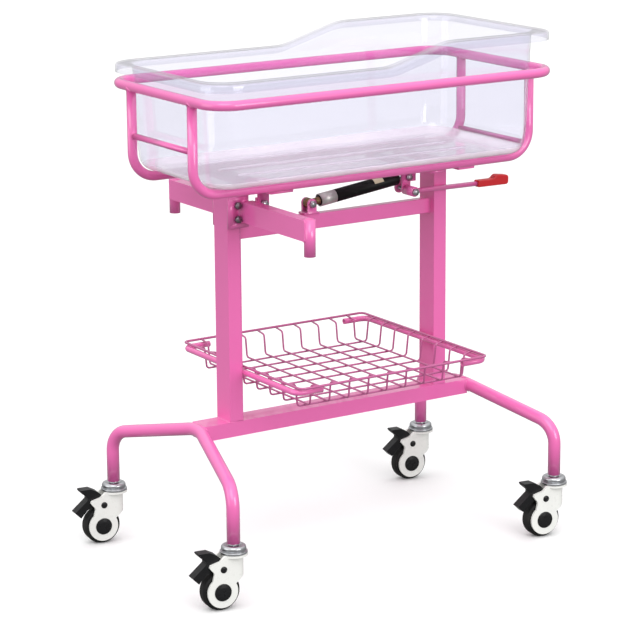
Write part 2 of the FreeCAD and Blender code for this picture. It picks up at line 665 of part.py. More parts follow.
def make_top_rail():
    radius = size.frame_tube_dia / 2
    across = size.rail_length / 2 - radius
    deep = size.rail_width / 2 - radius
    centre = MID + size.deck_shift
    corners = [V(centre - across, -deep, size.rail_height), V(centre + across, -deep, size.rail_height),
               V(centre + across, deep, size.rail_height), V(centre - across, deep, size.rail_height)]
    shaped("top_rail", bent_tube(corners, size.rail_bend, size.frame_tube_dia, closed=True))


def make_long_tubes():
    """Two tubes that run down from the rail, under the tub and up to the rail again."""
    reach = (size.rail_length - size.frame_tube_dia) / 2
    path = [(-reach, size.rail_height), (-reach, size.long_tube_height),
            (reach, size.long_tube_height), (reach, size.rail_height)]
    for name, way in SIDES.items():
        tube = planar_tube("long_tube_" + name, "XZ_Plane", path, size.long_tube_bend, "frame_tube_dia",
                           ("XY_Plane", "rail_height", "-1*(rail_length - frame_tube_dia)/2"),
                           Base_x="mid_x + deck_shift", Base_y=f"{way}*long_tube_spacing/2")
        cope = new_sketch(tube, f"long_tube_{name}_copes", "XZ_Plane")
        for end, along in (("foot", -1), ("head", 1)):
            add_circle(cope, end, "frame_tube_dia/2 + cope_gap",
                       across=f"{along}*(rail_length - frame_tube_dia)/2", up="rail_height")
        pocket(tube, cope, "3*frame_tube_dia")


def make_end_rods():
    """Rods between the long tubes, coped to their uprights and to the bends under them."""
    rods = []
    radius = "frame_tube_dia/2 + cope_gap"
    bend_top = "long_tube_height + long_tube_bend"
    for name, along, height in (("foot", -1, "foot_rod_height"), ("head", 1, "head_rod_height")):
        upright = f"mid_x + deck_shift + {along}*(rail_length - frame_tube_dia)/2"
        inward = f"(long_tube_bend - sqrt(long_tube_bend^2 - max(0; {bend_top} - {height})^2))"
        rod = cylinder(f"end_rod_{name}_bar", "end_rod_dia/2", "long_tube_spacing", "Y",
                       Base_x=f"{upright} - {along}*{inward}", Base_y="-1*long_tube_spacing/2",
                       Base_z=height)
        for side, way in SIDES.items():
            y = f"{way}*long_tube_spacing/2"
            straight = cylinder(f"end_rod_{name}_upright_{side}", radius, f"rail_height - ({bend_top})",
                                Base_x=upright, Base_y=y, Base_z=bend_top)
            bend = ring(f"end_rod_{name}_bend_{side}", "long_tube_bend", radius,
                        Base_x=f"{upright} - {along}*long_tube_bend", Base_y=y, Base_z=bend_top)
            rod = cut(f"end_rod_{name}_coped_{side}", rod, straight)
            rod = cut(f"end_rod_{name}_{side}", rod, bend)
        rods.append(rod)
    group("end_rods", rods)


def make_rest():
    """The bar that lays the tub frame on the head post, and the rubber pad in that post's end."""
    keep(box("rest_bar", "rest_bar_width", "long_tube_spacing", "hinge_plate",
             Base_x=f"{HEAD_POST} - rest_bar_width/2", Base_y="-1*long_tube_spacing/2",
             Base_z=PLATE_BOTTOM), "rest_bar")
    make_post_cap("rest_pad", HEAD_POST, f"{PLATE_BOTTOM} - seat_gap - post_top")
    make_post_cap("post_cap", FOOT_POST, "cap_thickness")


# ---------------------------------------------------------------- gas spring and release lever

def spring_place():
    """Spring frame: origin on the lower pin, +Z towards the upper pin."""
    foot = V(MID + size.spring_foot_x, 0, size.spring_foot_height)
    head = V(MID + size.spring_head_x, 0, size.spring_head_height)
    return FreeCAD.Placement(foot, FreeCAD.Rotation(V(0, 0, 1), head - foot)), (head - foot).Length


def across_eye(label, radius, width, bore, height):
    """A cylinder along Y and its bore, at a height on the spring's axis."""
    rim = doc.addObject("Part::Cylinder", label + "_rim")
    hole = doc.addObject("Part::Cylinder", label + "_bore")
    for item, size_text, length in ((rim, radius, width), (hole, bore, f"2*{width}")):
        item.Placement = FreeCAD.Placement(V(0, 0, height), FreeCAD.Rotation(V(1, 0, 0), -90))
        bind(item, Radius=size_text, Height=length, Base_y=f"-1*({length})/2")
    return rim, hole


def make_gas_spring():
    place, span = spring_place()
    barrel = size.spring_dia / 2
    core = barrel - size.tube_wall
    bore = size.spring_bore / 2
    end = span - size.spring_tail
    rod_hole = size.spring_rod_dia / 2 + size.running_gap
    neck = size.foot_eye_radius * 0.7
    section = [(0, 0), (neck, 0), (neck, size.spring_sleeve_start), (core, size.spring_sleeve_start),
               (core, size.spring_sleeve_end), (barrel, size.spring_sleeve_end), (barrel, end),
               (rod_hole, end), (rod_hole, end - size.spring_tail / 2), (bore, end - size.spring_tail / 2),
               (bore, size.spring_sleeve_end + size.tube_wall), (0, size.spring_sleeve_end + size.tube_wall)]
    rounding = [0] * 6 + [3] + [0] * 5
    tube = turned("spring_barrel", section, rounding, FreeCAD.Placement(), kept=False)
    rim, hole = across_eye("foot_eye", "foot_eye_radius", "foot_eye_width",
                           "spring_pin_dia/2 + running_gap", 0)
    cylinder_part = cut("spring_cylinder", fuse("spring_cylinder_blank", tube, rim), hole)
    cylinder_part.Placement = place
    keep(cylinder_part, "spring_cylinder")
    sleeve = new_body("spring_sleeve")
    ring = new_sketch(sleeve, "spring_sleeve_section", "XY_Plane", "spring_sleeve_start")
    add_circle(ring, "outer", "spring_dia/2")
    add_circle(ring, "inner", "spring_dia/2 - tube_wall + running_gap")
    pad(sleeve, ring, "spring_sleeve_end - spring_sleeve_start")
    sleeve.Placement = place
    rod = turned("spring_piston", [(0, span / 2), (bore - size.running_gap, span / 2),
                                   (bore - size.running_gap, span / 2 + size.spring_rod_dia),
                                   (size.spring_rod_dia / 2, span / 2 + size.spring_rod_dia),
                                   (size.spring_rod_dia / 2, span), (0, span)],
                 0, FreeCAD.Placement(), kept=False)
    rim, hole = across_eye("head_eye", "head_eye_radius", "head_eye_width",
                           "spring_pin_dia/2 + head_eye_slack", span)
    rod_part = cut("spring_rod", fuse("spring_rod_blank", rod, rim), hole)
    rod_part.Placement = place
    keep(rod_part, "spring_rod")


def make_spring_clevis():
    """The foot of the gas spring on the upper stretcher."""
    x = "(mid_x + spring_foot_x)"
    inner = "(foot_eye_width/2 + side_gap)"
    top = "(stretcher_bottom + stretcher_height)"
    base = box("clevis_base", "clevis_length", f"2*({inner} + clevis_plate)", "clevis_plate",
               Base_x=f"{x} - clevis_length/2", Base_y=f"-1*({inner} + clevis_plate)", Base_z=top)
    ears = []
    for name, way in SIDES.items():
        near = -1 if way < 0 else 0
        ears.append(tongue("clevis_ear_" + name, x, "spring_foot_height", "foot_eye_radius",
                           "spring_pin_dia/2 + running_gap", f"{way}*{inner} + {near}*clevis_plate",
                           "clevis_plate", far_z=("down", top)))
    keep(fuse("spring_clevis", base, *ears), "spring_clevis")
    pin = eye_bolt_set("spring_clevis_pin", "spring_pin_dia", f"({inner} + clevis_plate)",
                       "1.6*spring_pin_dia", x, "spring_foot_height")
    keep(pin, "spring_clevis_pin")


def make_release_bracket():
    """Two cheeks under a cross plate of the tub frame: upper spring pin and lever pivot."""
    inner = "(release_bracket_width/2 - clevis_plate)"
    x = "(mid_x + spring_head_x)"
    pivot_x = "(mid_x + lever_pivot_x)"
    pieces = [box("release_cross_plate", "release_bracket_length", "long_tube_spacing", "hinge_plate",
                  Base_x=f"{x} - release_bracket_length/2", Base_y="-1*long_tube_spacing/2",
                  Base_z=PLATE_BOTTOM)]
    holes = []
    for name, way in SIDES.items():
        near = -1 if way < 0 else 0
        y = f"{way}*{inner} + {near}*clevis_plate"
        pieces.append(tongue("release_cheek_" + name, pivot_x, "lever_pivot_height",
                             "release_bracket_drop", "spring_pin_dia/2 + running_gap", y,
                             "clevis_plate", far_z=("up", PLATE_BOTTOM)))
        pieces.append(box("release_cheek_top_" + name, "release_bracket_length", "clevis_plate",
                          f"{PLATE_BOTTOM} - spring_head_height + head_eye_radius",
                          Base_x=f"{x} - release_bracket_length/2", Base_y=y,
                          Base_z="spring_head_height - head_eye_radius"))
        holes.append(cylinder("release_pin_hole_" + name, "spring_pin_dia/2 + running_gap",
                              "3*clevis_plate", "Y", Base_x=x, Base_y=f"{y} - clevis_plate",
                              Base_z="spring_head_height"))
    keep(cut("release_bracket", fuse("release_bracket_blank", *pieces), *holes), "release_bracket")
    spring_pin = eye_bolt_set("spring_head_pin", "spring_pin_dia", "(release_bracket_width/2)",
                              "1.6*spring_pin_dia", x, "spring_head_height")
    far = "(lever_side + lever_boss_dia/2 + side_gap)"
    near_end = "(release_bracket_width/2)"
    shank = cylinder("lever_pin_shank", "spring_pin_dia/2", f"{far} + {near_end}", "Y",
                     Base_x=pivot_x, Base_y=f"-1*{far}", Base_z="lever_pivot_height")
    heads = [hexagon(f"lever_pin_{end}", "1.6*spring_pin_dia", "bolt_head_height", "Y",
                     Base_x=pivot_x, Base_y=y, Base_z="lever_pivot_height")
             for end, y in (("head", f"-1*{far} - bolt_head_height"), ("nut", near_end))]
    group("bracket_pins", [spring_pin, fuse("lever_pin", shank, *heads)])


def make_release_lever():
    """Lever rod with its long boss, and the moulded grip on it."""
    pivot = V(MID + size.lever_pivot_x, -size.lever_side, size.lever_pivot_height)
    slope = math.asin(size.lever_drop / size.lever_reach)
    along = V(math.cos(slope), 0, -math.sin(slope))
    boss_start = size.release_bracket_width / 2 + size.side_gap
    boss_length = size.lever_side + size.lever_boss_dia / 2 - boss_start
    boss = Part.makeCylinder(size.lever_boss_dia / 2, boss_length,
                             V(pivot.x, -boss_start, pivot.z), V(0, -1, 0))
    rod = Part.makeCylinder(size.lever_dia / 2, size.lever_reach, pivot, along)
    bore = Part.makeCylinder(size.spring_pin_dia / 2 + size.running_gap, 3 * boss_length,
                             V(pivot.x, boss_length, pivot.z), V(0, -1, 0))
    shaped("release_lever", boss.fuse(rod).cut(bore))
    start = size.lever_grip_start
    neck = start + size.lever_neck_length
    end = start + size.lever_grip_length
    slim = size.lever_dia / 2 + size.tube_wall
    wide = size.lever_grip_dia / 2
    bottom = slim
    outline = [(start, -bottom), (end, -bottom), (end, wide + slim / 2), (neck + wide, wide + slim),
               (neck, slim), (start, slim)]
    points = [pivot + along * a + V(along.z * -1, 0, along.x) * b for a, b in outline]
    points = [V(point.x, -size.lever_side - wide, point.z) for point in points]
    wire = Part.Wire([edge.toShape() for edge in
                      rounded_edges(points, [3, 6, 6, 12, 12, 3], closed=True)])
    grip = Part.Face(wire).extrude(V(0, 2 * wide, 0))
    rims = [edge for edge in grip.Edges
            if max(abs(vertex.Y + size.lever_side) for vertex in edge.Vertexes) > wide - 1e-6
            and abs(edge.Vertexes[0].Y - edge.Vertexes[-1].Y) < 1e-6]
    grip = grip.makeFillet(2.5, rims)
    hole = Part.makeCylinder(size.lever_dia / 2 + size.running_gap, size.lever_reach + size.running_gap,
                             pivot, along)
    shaped("lever_grip", grip.cut(hole))


# ---------------------------------------------------------------- tub

def rounded_rectangle(length, width, corner, height):
    """A closed wire about the tub's middle, at one height."""
    centre = MID + size.deck_shift
    points = [V(centre - length / 2, -width / 2, height), V(centre + length / 2, -width / 2, height),
              V(centre + length / 2, width / 2, height), V(centre - length / 2, width / 2, height)]
    return Part.Wire([edge.toShape() for edge in rounded_edges(points, corner, closed=True)])


def tub_block(inset, bottom, top):
    """The tub's tapering volume, drawn in by inset on every side."""
    taper = 2 * size.tub_taper
    corner = size.tub_corner - inset
    low = rounded_rectangle(size.tub_length - 2 * inset - taper, size.tub_width - 2 * inset - taper,
                            corner, bottom)
    high = rounded_rectangle(size.tub_length - 2 * inset, size.tub_width - 2 * inset, corner, top)
    block = Part.makeLoft([low, high], True, True)
    edges = [edge for edge in block.Edges
             if all(abs(vertex.Z - bottom) < 1e-6 for vertex in edge.Vertexes)]
    return block.makeFillet(size.tub_floor_round - inset, edges)


def below_rim(drop):
    """Everything under the rim's rising surface, lowered by drop."""
    centre = MID + size.deck_shift
    far = size.rim_length
    start = centre + size.rim_rise_start
    low = size.rim_foot_height - drop
    high = size.rim_head_height - drop
    depth = size.long_tube_height / 2
    side = -size.rim_width
    points = [V(centre - far, side, depth), V(centre - far, side, low), V(start, side, low),
              V(start + size.rim_rise_length, side, high), V(centre + far, side, high),
              V(centre + far, side, depth)]
    wire = Part.Wire([edge.toShape() for edge in rounded_edges(
        points, [0, 0, size.rim_rise_round, size.rim_rise_round, 0, 0], closed=True)])
    return Part.Face(wire).extrude(V(0, 2 * size.rim_width, 0))


def rim_block(inset, drop, rounding):
    """The rim's outline under its rising surface, with a round along its top edge."""
    top = 2 * size.rim_head_height
    bottom = size.rim_foot_height - size.rim_lip - size.rim_head_height
    outline = rounded_rectangle(size.rim_length - 2 * inset, size.rim_width - 2 * inset,
                                size.rim_corner - inset, size.rail_height)
    prism = Part.Face(outline).extrude(V(0, 0, top - bottom - size.rail_height))
    block = prism.common(below_rim(drop))
    edges = []
    for face in block.Faces:
        if face.normalAt(*middle_of(face)).z > 0.5:
            edges.extend(face.Edges)
    outer = [edge for edge in edges if touches_side(edge, inset)]
    return block.makeFillet(rounding, outer)


def middle_of(face):
    low_u, high_u, low_v, high_v = face.ParameterRange
    return (low_u + high_u) / 2, (low_v + high_v) / 2


def touches_side(edge, inset):
    """True for an edge that lies on the rim's outer side all along."""
    centre = MID + size.deck_shift
    across = size.rim_length / 2 - inset
    deep = size.rim_width / 2 - inset
    corner = size.rim_corner - inset
    for share in (0.1, 0.5, 0.9):
        at = edge.valueAt(edge.FirstParameter + share * (edge.LastParameter - edge.FirstParameter))
        x = abs(at.x - centre)
        y = abs(at.y)
        if x > across - corner and y > deep - corner:
            inside = math.hypot(x - across + corner, y - deep + corner) - corner
        else:
            inside = max(x - across, y - deep)
        if inside < -1e-3:
            return False
    return True


def make_tub():
    bottom = size.long_tube_height + size.frame_tube_dia / 2 + size.seat_gap
    wall = size.tub_wall
    outer = tub_block(0, bottom, size.rim_head_height)
    cavity = tub_block(wall, bottom + wall, size.rim_head_height)
    mouth = rounded_rectangle(size.tub_length - 2 * wall, size.tub_width - 2 * wall,
                              size.tub_corner - wall, size.rim_head_height)
    cavity = cavity.fuse(Part.Face(mouth).extrude(V(0, 0, size.rim_lip)))
    shell = outer.common(below_rim(wall / 2))
    rim = rim_block(0, 0, size.rim_round).cut(rim_block(wall, wall, size.rim_round - wall))
    rim = rim.cut(below_rim(size.rim_lip))
    ribs = []
    floor = bottom + wall
    for number in range(int(size.rib_count)):
        y = (number - (size.rib_count - 1) / 2) * size.rib_pitch
        x = MID + size.deck_shift + size.rib_shift - size.rib_length / 2
        rib = Part.makeBox(size.rib_length, size.rib_width, size.rib_height + wall / 2,
                           V(x, y - size.rib_width / 2, floor - wall / 2))
        top = [edge for edge in rib.Edges
               if all(vertex.Z > floor for vertex in edge.Vertexes)]
        ribs.append(rib.makeFillet(size.rib_height * 0.8, top))
    tub = shell.fuse(rim).cut(cavity)
    tub = tub.fuse(ribs)
    shaped("tub", tub.removeSplitter())


# ---------------------------------------------------------------- basket

def basket_rim_height():
    """Height at which the outer wires lie on the bracket stubs below them."""
    slope = math.atan2(size.basket_lip_drop, size.basket_lip_sides)
    clear = size.bracket_tube_dia / 2 + size.wire_dia / 2 + size.seat_gap
    inward = (size.basket_width - size.bracket_width) / 2
    return size.bracket_height + clear / math.cos(slope) + inward * math.tan(slope)


def make_basket_brackets():
    """C-shaped tubes on the posts' inner faces; their stubs point under the basket."""
    for name, way, centre in (("foot", 1, FOOT_POST), ("head", -1, HEAD_POST)):
        reach = way * size.bracket_reach
        half = size.bracket_width / 2
        path = [(reach, -half), (0, -half), (0, half), (reach, half)]
        inset = f"{way}*(post_width/2 + bracket_tube_dia/2 + cope_gap)"
        body = new_body("basket_bracket_" + name)
        route = new_sketch(body, f"basket_bracket_{name}_route", "XY_Plane")
        add_outline(route, path, size.bracket_bend, closed=False)
        section = new_sketch(body, f"basket_bracket_{name}_section", "YZ_Plane", f"{way}*bracket_reach")
        for ring, radius in (("outer", "bracket_tube_dia/2"),
                             ("inner", "bracket_tube_dia/2 - tube_wall")):
            add_circle(section, ring, radius, across="-1*bracket_width/2")
        pipe = body.newObject("PartDesign::AdditivePipe", "Pipe")
        pipe.Profile = section
        pipe.Spine = route
        bind(body, Base_x=f"{centre} + {inset}", Base_z="bracket_height")


def basket_wire(half, lip, rim_height, floor_height):
    """Half width, lip and heights give one wire from rim to rim, as (across, up) points."""
    inner = half - lip
    rim_gap = (size.rim_wire_dia / 2 + size.cope_gap) / math.hypot(lip, size.basket_lip_drop)
    start = (half - lip * rim_gap, rim_height - size.basket_lip_drop * rim_gap)
    side = [start, (inner, rim_height - size.basket_lip_drop), (inner - size.basket_taper, floor_height)]
    return side + [(-across, up) for across, up in reversed(side)]


def make_basket():
    rim_height = basket_rim_height()
    half_x = size.basket_length / 2
    half_y = size.basket_width / 2
    corners = [V(MID - half_x, -half_y, rim_height), V(MID + half_x, -half_y, rim_height),
               V(MID + half_x, half_y, rim_height), V(MID - half_x, half_y, rim_height)]
    shaped("basket_rim", swept(corners, size.basket_corner, size.rim_wire_dia / 2, closed=True))
    floor = rim_height - size.basket_depth
    wires = []
    bend = [0] + [size.basket_bend] * 4 + [0]
    inner_y = 2 * (half_y - size.basket_lip_sides - size.basket_taper)
    count = int(inner_y / size.wire_pitch_y) + 1
    outline = basket_wire(half_x, size.basket_lip_ends, rim_height, floor)
    for number in range(count):
        y = (number - (count - 1) / 2) * size.wire_pitch_y
        wires.append(swept([V(MID + across, y, up) for across, up in outline], bend, size.wire_dia / 2))
    inner_x = 2 * (half_x - size.basket_lip_ends - size.basket_taper)
    count = int((inner_x + size.wire_pitch_x) / size.wire_pitch_x)
    crossing = floor + size.wire_dia + size.cope_gap
    outline = basket_wire(half_y, size.basket_lip_sides, rim_height, crossing)
    for number in range(count):
        x = MID + (number - (count - 1) / 2) * size.wire_pitch_x
        wires.append(swept([V(x, across, up) for across, up in outline], bend, size.wire_dia / 2))
    shaped("basket_wires", Part.makeCompound(wires))


# ---------------------------------------------------------------- casters

def caster_place(corner, offset=V(), turn=None):
    """A caster's frame: origin under its stem on the floor, the wheel trails along -X."""
    side_x, side_y = CORNERS[corner]
    base = FreeCAD.Placement(V(MID + side_x * HALF_X, side_y * HALF_Y, 0),
                             FreeCAD.Rotation(V(0, 0, 1), size.caster_yaw))
    return base.multiply(FreeCAD.Placement(offset, turn or FreeCAD.Rotation()))


ALONG_AXLE = FreeCAD.Rotation(V(1, 0, 0), -90)


def make_caster_heads():
    """Swivel heads, stems and nuts, which stay still on the legs."""
    low = size.fork_height + size.seat_gap
    high = low + size.swivel_height
    flange = size.swivel_dia / 2
    bore = size.stem_dia / 2 + size.running_gap
    dish = size.swivel_dish_dia / 2
    floor = high - size.swivel_dish
    groove = low + size.swivel_height * 0.3
    section = [(bore, low), (flange, low), (flange, groove), (flange - 3.5, groove),
               (flange - 3.5, groove + 1.5), (flange - 2.5, groove + 1.5), (flange - 2.5, high),
               (dish + 4, high), (dish, floor), (bore, floor)]
    rounding = [0, 1.5, 1.5, 0, 0, 0, 6, 1.5, 1, 0]
    kingpin = size.kingpin_dia / 2
    cap = size.kingpin_head_dia / 2
    seat = size.kingpin_seat - size.seat_gap
    stem = size.stem_dia / 2
    top = LEG_BOTTOM + size.stem_depth
    stem_section = [(0, seat - size.kingpin_head_height), (cap, seat - size.kingpin_head_height),
                    (cap, seat), (kingpin, seat), (kingpin, low), (stem, low), (stem, top), (0, top)]
    heads = []
    stems = []
    nuts = []
    for corner, (side_x, side_y) in CORNERS.items():
        heads.append(turned("caster_head_" + corner, section, rounding, caster_place(corner), False))
        stems.append(turned("caster_stem_" + corner, stem_section, [0] * 6 + [1, 0],
                            caster_place(corner), False))
        base = {"Base_x": f"mid_x + {side_x}*stem_spread_x/2", "Base_y": f"{side_y}*stem_spread_y/2",
                "Base_z": "fork_height + seat_gap + swivel_height - swivel_dish"}
        blank = hexagon("caster_nut_blank_" + corner, "stem_nut_width", "stem_nut_height", **base)
        hole = cylinder("caster_nut_hole_" + corner, "stem_dia/2 + running_gap", "stem_nut_height", **base)
        nuts.append(cut("caster_nut_" + corner, blank, hole))
    group("caster_heads", heads)
    group("caster_stems", stems)
    group("caster_nuts", nuts)


def make_fork(corner):
    """The white shell: two side plates with round covers, joined over the wheel."""
    body = new_body("caster_fork_" + corner)
    width = "wheel_width + 2*wheel_side_gap + 2*fork_plate"
    top = size.fork_height
    boss = size.fork_boss_radius
    wheel = size.wheel_dia / 2
    trail = size.wheel_trail
    side = new_sketch(body, "fork_side_" + corner, "XZ_Plane")
    add_outline(side, [(boss, top), (boss - 2.5, 70), (2, 56), (-8, 48), (-trail, wheel), (-48, 50),
                       (-50, 62), (-46, 76), (-56, 88), (-54, 93), (-35, 98), (-25, top)],
                [0, 6, 8, 6, 0, 4, 6, 4, 2, 2, 6, 4])
    pad(body, side, width, symmetric=True)
    cover = new_sketch(body, "fork_cover_" + corner, "XZ_Plane")
    add_circle(cover, "cover", "fork_cover_dia/2", across="-1*wheel_trail", up="wheel_dia/2")
    pad(body, cover, width, symmetric=True)
    front = new_sketch(body, "fork_front_" + corner, "XY_Plane")
    reach = 2 * boss
    half = size.wheel_width / 2 + size.wheel_side_gap + size.fork_plate
    add_outline(front, [(0, half), (0, reach), (reach, reach), (reach, -reach), (0, -reach), (0, -half)],
                closed=False)
    front.addGeometry(Part.Arc(V(0, -half, 0), V(half, 0, 0), V(0, half, 0)), False)
    pocket(body, front, "3*fork_height")
    housing = new_sketch(body, "fork_housing_" + corner, "XY_Plane", "fork_height")
    add_circle(housing, "housing", "fork_boss_radius")
    pad(body, housing, "fork_lip", downwards=True)
    cavity = new_sketch(body, "fork_cavity_" + corner, "XZ_Plane")
    add_circle(cavity, "cavity", "wheel_dia/2 + wheel_round_gap", across="-1*wheel_trail",
               up="wheel_dia/2")
    pocket(body, cavity, "wheel_width + 2*wheel_side_gap")
    slot = new_sketch(body, "fork_slot_" + corner, "XZ_Plane")
    front_x = -size.pedal_slot_front
    add_outline(slot, [(front_x, wheel + trail), (front_x, 2 * top), (-2 * size.pedal_reach, 2 * top),
                       (-2 * size.pedal_reach, wheel + trail)])
    pocket(body, slot, "pedal_width + 2*side_gap")
    bores = new_sketch(body, "fork_bores_" + corner, "XZ_Plane")
    add_circle(bores, "axle", "axle_dia/2 + running_gap", across="-1*wheel_trail", up="wheel_dia/2")
    add_circle(bores, "pivot", "pedal_pin_dia/2 + running_gap", across="-1*pedal_pivot_x",
               up="pedal_pivot_height")
    pocket(body, bores, f"2*({width})")
    kingpin = new_sketch(body, "fork_kingpin_" + corner, "XY_Plane", "fork_height")
    add_circle(kingpin, "kingpin", "kingpin_dia/2 + running_gap")
    pocket(body, kingpin, "2*fork_height")
    seat = new_sketch(body, "fork_seat_" + corner, "XY_Plane")
    add_circle(seat, "seat", "kingpin_head_dia/2 + seat_gap")
    pocket(body, seat, "2*kingpin_seat")
    body.Placement = caster_place(corner)


def make_wheel(corner):
    place = caster_place(corner, V(-size.wheel_trail, 0, size.wheel_dia / 2), ALONG_AXLE)
    outer = size.wheel_dia / 2
    hub = size.hub_dia / 2
    half = size.wheel_width / 2
    bore = size.axle_dia / 2 + size.running_gap
    turned("caster_tyre_" + corner, [(hub, -half), (outer, -half), (outer, half), (hub, half)],
           [0, 5, 5, 0], place)
    boss = size.axle_dia
    end = half + size.wheel_side_gap - size.seat_gap
    web = half / 3
    rim = hub - size.fork_plate
    turned("caster_hub_" + corner,
           [(bore, -end), (boss, -end), (boss, -web), (rim, -web), (rim, -half), (hub, -half),
            (hub, half), (rim, half), (rim, web), (boss, web), (boss, end), (bore, end)], 0, place)


def headed_pin(label, diameter, head_dia, place):
    """A pin through both fork plates with a low domed head on each side."""
    face = size.wheel_width / 2 + size.wheel_side_gap + size.fork_plate
    rise = size.pin_head_height
    shank = diameter / 2
    head = head_dia / 2
    half = [(0, face + rise), (head * 0.55, face + rise), (head, face + rise / 3), (head, face),
            (shank, face)]
    mirrored = [(radius, -height) for radius, height in reversed(half)]
    return turned(label, half + mirrored, [0, rise * 2, 0, 0, 0, 0, 0, 0, rise * 2, 0], place, False)


def make_caster_pins(corner):
    axle = headed_pin("caster_axle_" + corner, size.axle_dia, size.axle_head_dia,
                      caster_place(corner, V(-size.wheel_trail, 0, size.wheel_dia / 2), ALONG_AXLE))
    pivot = headed_pin("pedal_pin_" + corner, size.pedal_pin_dia, size.pedal_head_dia,
                       caster_place(corner, V(-size.pedal_pivot_x, 0, size.pedal_pivot_height),
                                    ALONG_AXLE))
    group("caster_pins_" + corner, [axle, pivot])


def make_pedal(corner):
    """The brake pedal: a tread above, a toe flap behind, both on one hub."""
    body = new_body("brake_pedal_" + corner)
    x = -size.pedal_pivot_x
    z = size.pedal_pivot_height
    hub = size.pedal_hub_radius
    side = new_sketch(body, "pedal_side_" + corner, "XZ_Plane")
    add_outline(side, [(-77.5, 116.6), (-53, 116.6), (-38, 109), (x + hub - 2, z + 13),
                       (x + hub, z - hub), (x - hub, z - hub + 1), (-44, 82), (-61, 74), (-75.5, 58),
                       (-size.pedal_reach, 70.4), (-57, 97), (-72, 109.4)],
                [2, 4, 4, 4, 5, 4, 3, 3, 0, 0, 5, 2])
    pad(body, side, "pedal_width", symmetric=True)
    hole = new_sketch(body, "pedal_hole_" + corner, "XZ_Plane")
    add_circle(hole, "hole", "pedal_pin_dia/2 + running_gap", across="-1*pedal_pivot_x",
               up="pedal_pivot_height")
    pocket(body, hole, "2*pedal_width")
    body.Placement = caster_place(corner)


# ---------------------------------------------------------------- the model

make_legs()
make_leg_plugs()
make_base_beam()
make_posts()
make_pole_arms()
make_tilt_hinge()
make_top_rail()
make_long_tubes()
make_end_rods()
make_rest()
make_gas_spring()
make_spring_clevis()
make_release_bracket()
make_release_lever()
make_tub()
make_basket_brackets()
make_basket()
make_caster_heads()
for caster_corner in CORNERS:
    make_fork(caster_corner)
    make_wheel(caster_corner)
    make_caster_pins(caster_corner)
    make_pedal(caster_corner)

doc.recompute()
for item in doc.Objects:
    if {"Invalid", "Error"} & set(item.State):
        raise RuntimeError(f"{item.Label}: {item.State}")
for item in parts:
    if item.Shape.isNull() or not item.Shape.isValid() or not item.Shape.Solids:
        raise RuntimeError(f"{item.Label}: no valid solid")

os.makedirs("parts", exist_ok=True)
for item in parts:
    item.Shape.exportStep(f"parts/{item.Label}.step")
    print(f"{item.Label}: {len(item.Shape.Solids)} solid(s), {item.Shape.Volume / 1000:.2f} cm3")
whole = FreeCAD.BoundBox()
for item in parts:
    whole.add(item.Shape.BoundBox)
print(f"{len(parts)} nodes; X {whole.XMin:.2f} to {whole.XMax:.2f}, Y {whole.YMin:.2f} to "
      f"{whole.YMax:.2f}, Z {whole.ZMin:.2f} to {whole.ZMax:.2f}")
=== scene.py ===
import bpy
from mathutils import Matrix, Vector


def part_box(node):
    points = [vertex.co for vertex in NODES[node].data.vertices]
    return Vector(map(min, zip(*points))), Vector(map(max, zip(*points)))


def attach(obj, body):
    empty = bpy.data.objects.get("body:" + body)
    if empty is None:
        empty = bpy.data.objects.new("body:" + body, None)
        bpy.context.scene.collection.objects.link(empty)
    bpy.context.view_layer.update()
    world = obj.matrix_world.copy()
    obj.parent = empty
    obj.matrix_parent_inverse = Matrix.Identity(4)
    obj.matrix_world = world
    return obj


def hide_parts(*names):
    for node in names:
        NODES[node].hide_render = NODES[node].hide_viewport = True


bl_info = {
    "name": "Hospital Bassinet",
    "version": (1, 0, 0),
    "blender": (4, 5, 0),
    "location": "View3D > Sidebar > Bassinet",
    "description": "Dresses a hospital bassinet: coated frame, clear tub, basket and casters",
    "category": "Add Mesh",
}

import math

import bmesh
import bpy
from bpy.props import FloatProperty, FloatVectorProperty, IntProperty, PointerProperty
from mathutils import Matrix, Vector
from mathutils.bvhtree import BVHTree

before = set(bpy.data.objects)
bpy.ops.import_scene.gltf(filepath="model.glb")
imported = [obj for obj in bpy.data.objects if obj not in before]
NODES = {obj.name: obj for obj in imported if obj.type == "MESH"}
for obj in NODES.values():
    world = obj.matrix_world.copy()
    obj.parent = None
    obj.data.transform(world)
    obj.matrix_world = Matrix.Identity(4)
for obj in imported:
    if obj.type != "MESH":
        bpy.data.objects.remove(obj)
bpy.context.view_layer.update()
CORNERS = ("foot_front", "foot_rear", "head_front", "head_rear")


def node_middle(name):
    """Middle of a node's box."""
    low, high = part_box(name)
    return (low + high) / 2


TUB_LOW, TUB_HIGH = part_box("tub")
FOOT_POST_LOW, FOOT_POST_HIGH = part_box("foot_post")
HEAD_POST_LOW, HEAD_POST_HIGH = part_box("head_post")


# ---------------------------------------------------------------- settings

def length(name, description, default, low=0.0):
    """A length setting in metres."""
    return FloatProperty(name=name, description=description, default=default, min=low, max=2.0,
                         unit="LENGTH", subtype="DISTANCE")


def colour(name, description, default):
    """A colour setting."""
    return FloatVectorProperty(name=name, description=description, default=default, size=3,
                               min=0.0, max=1.0, subtype="COLOR")


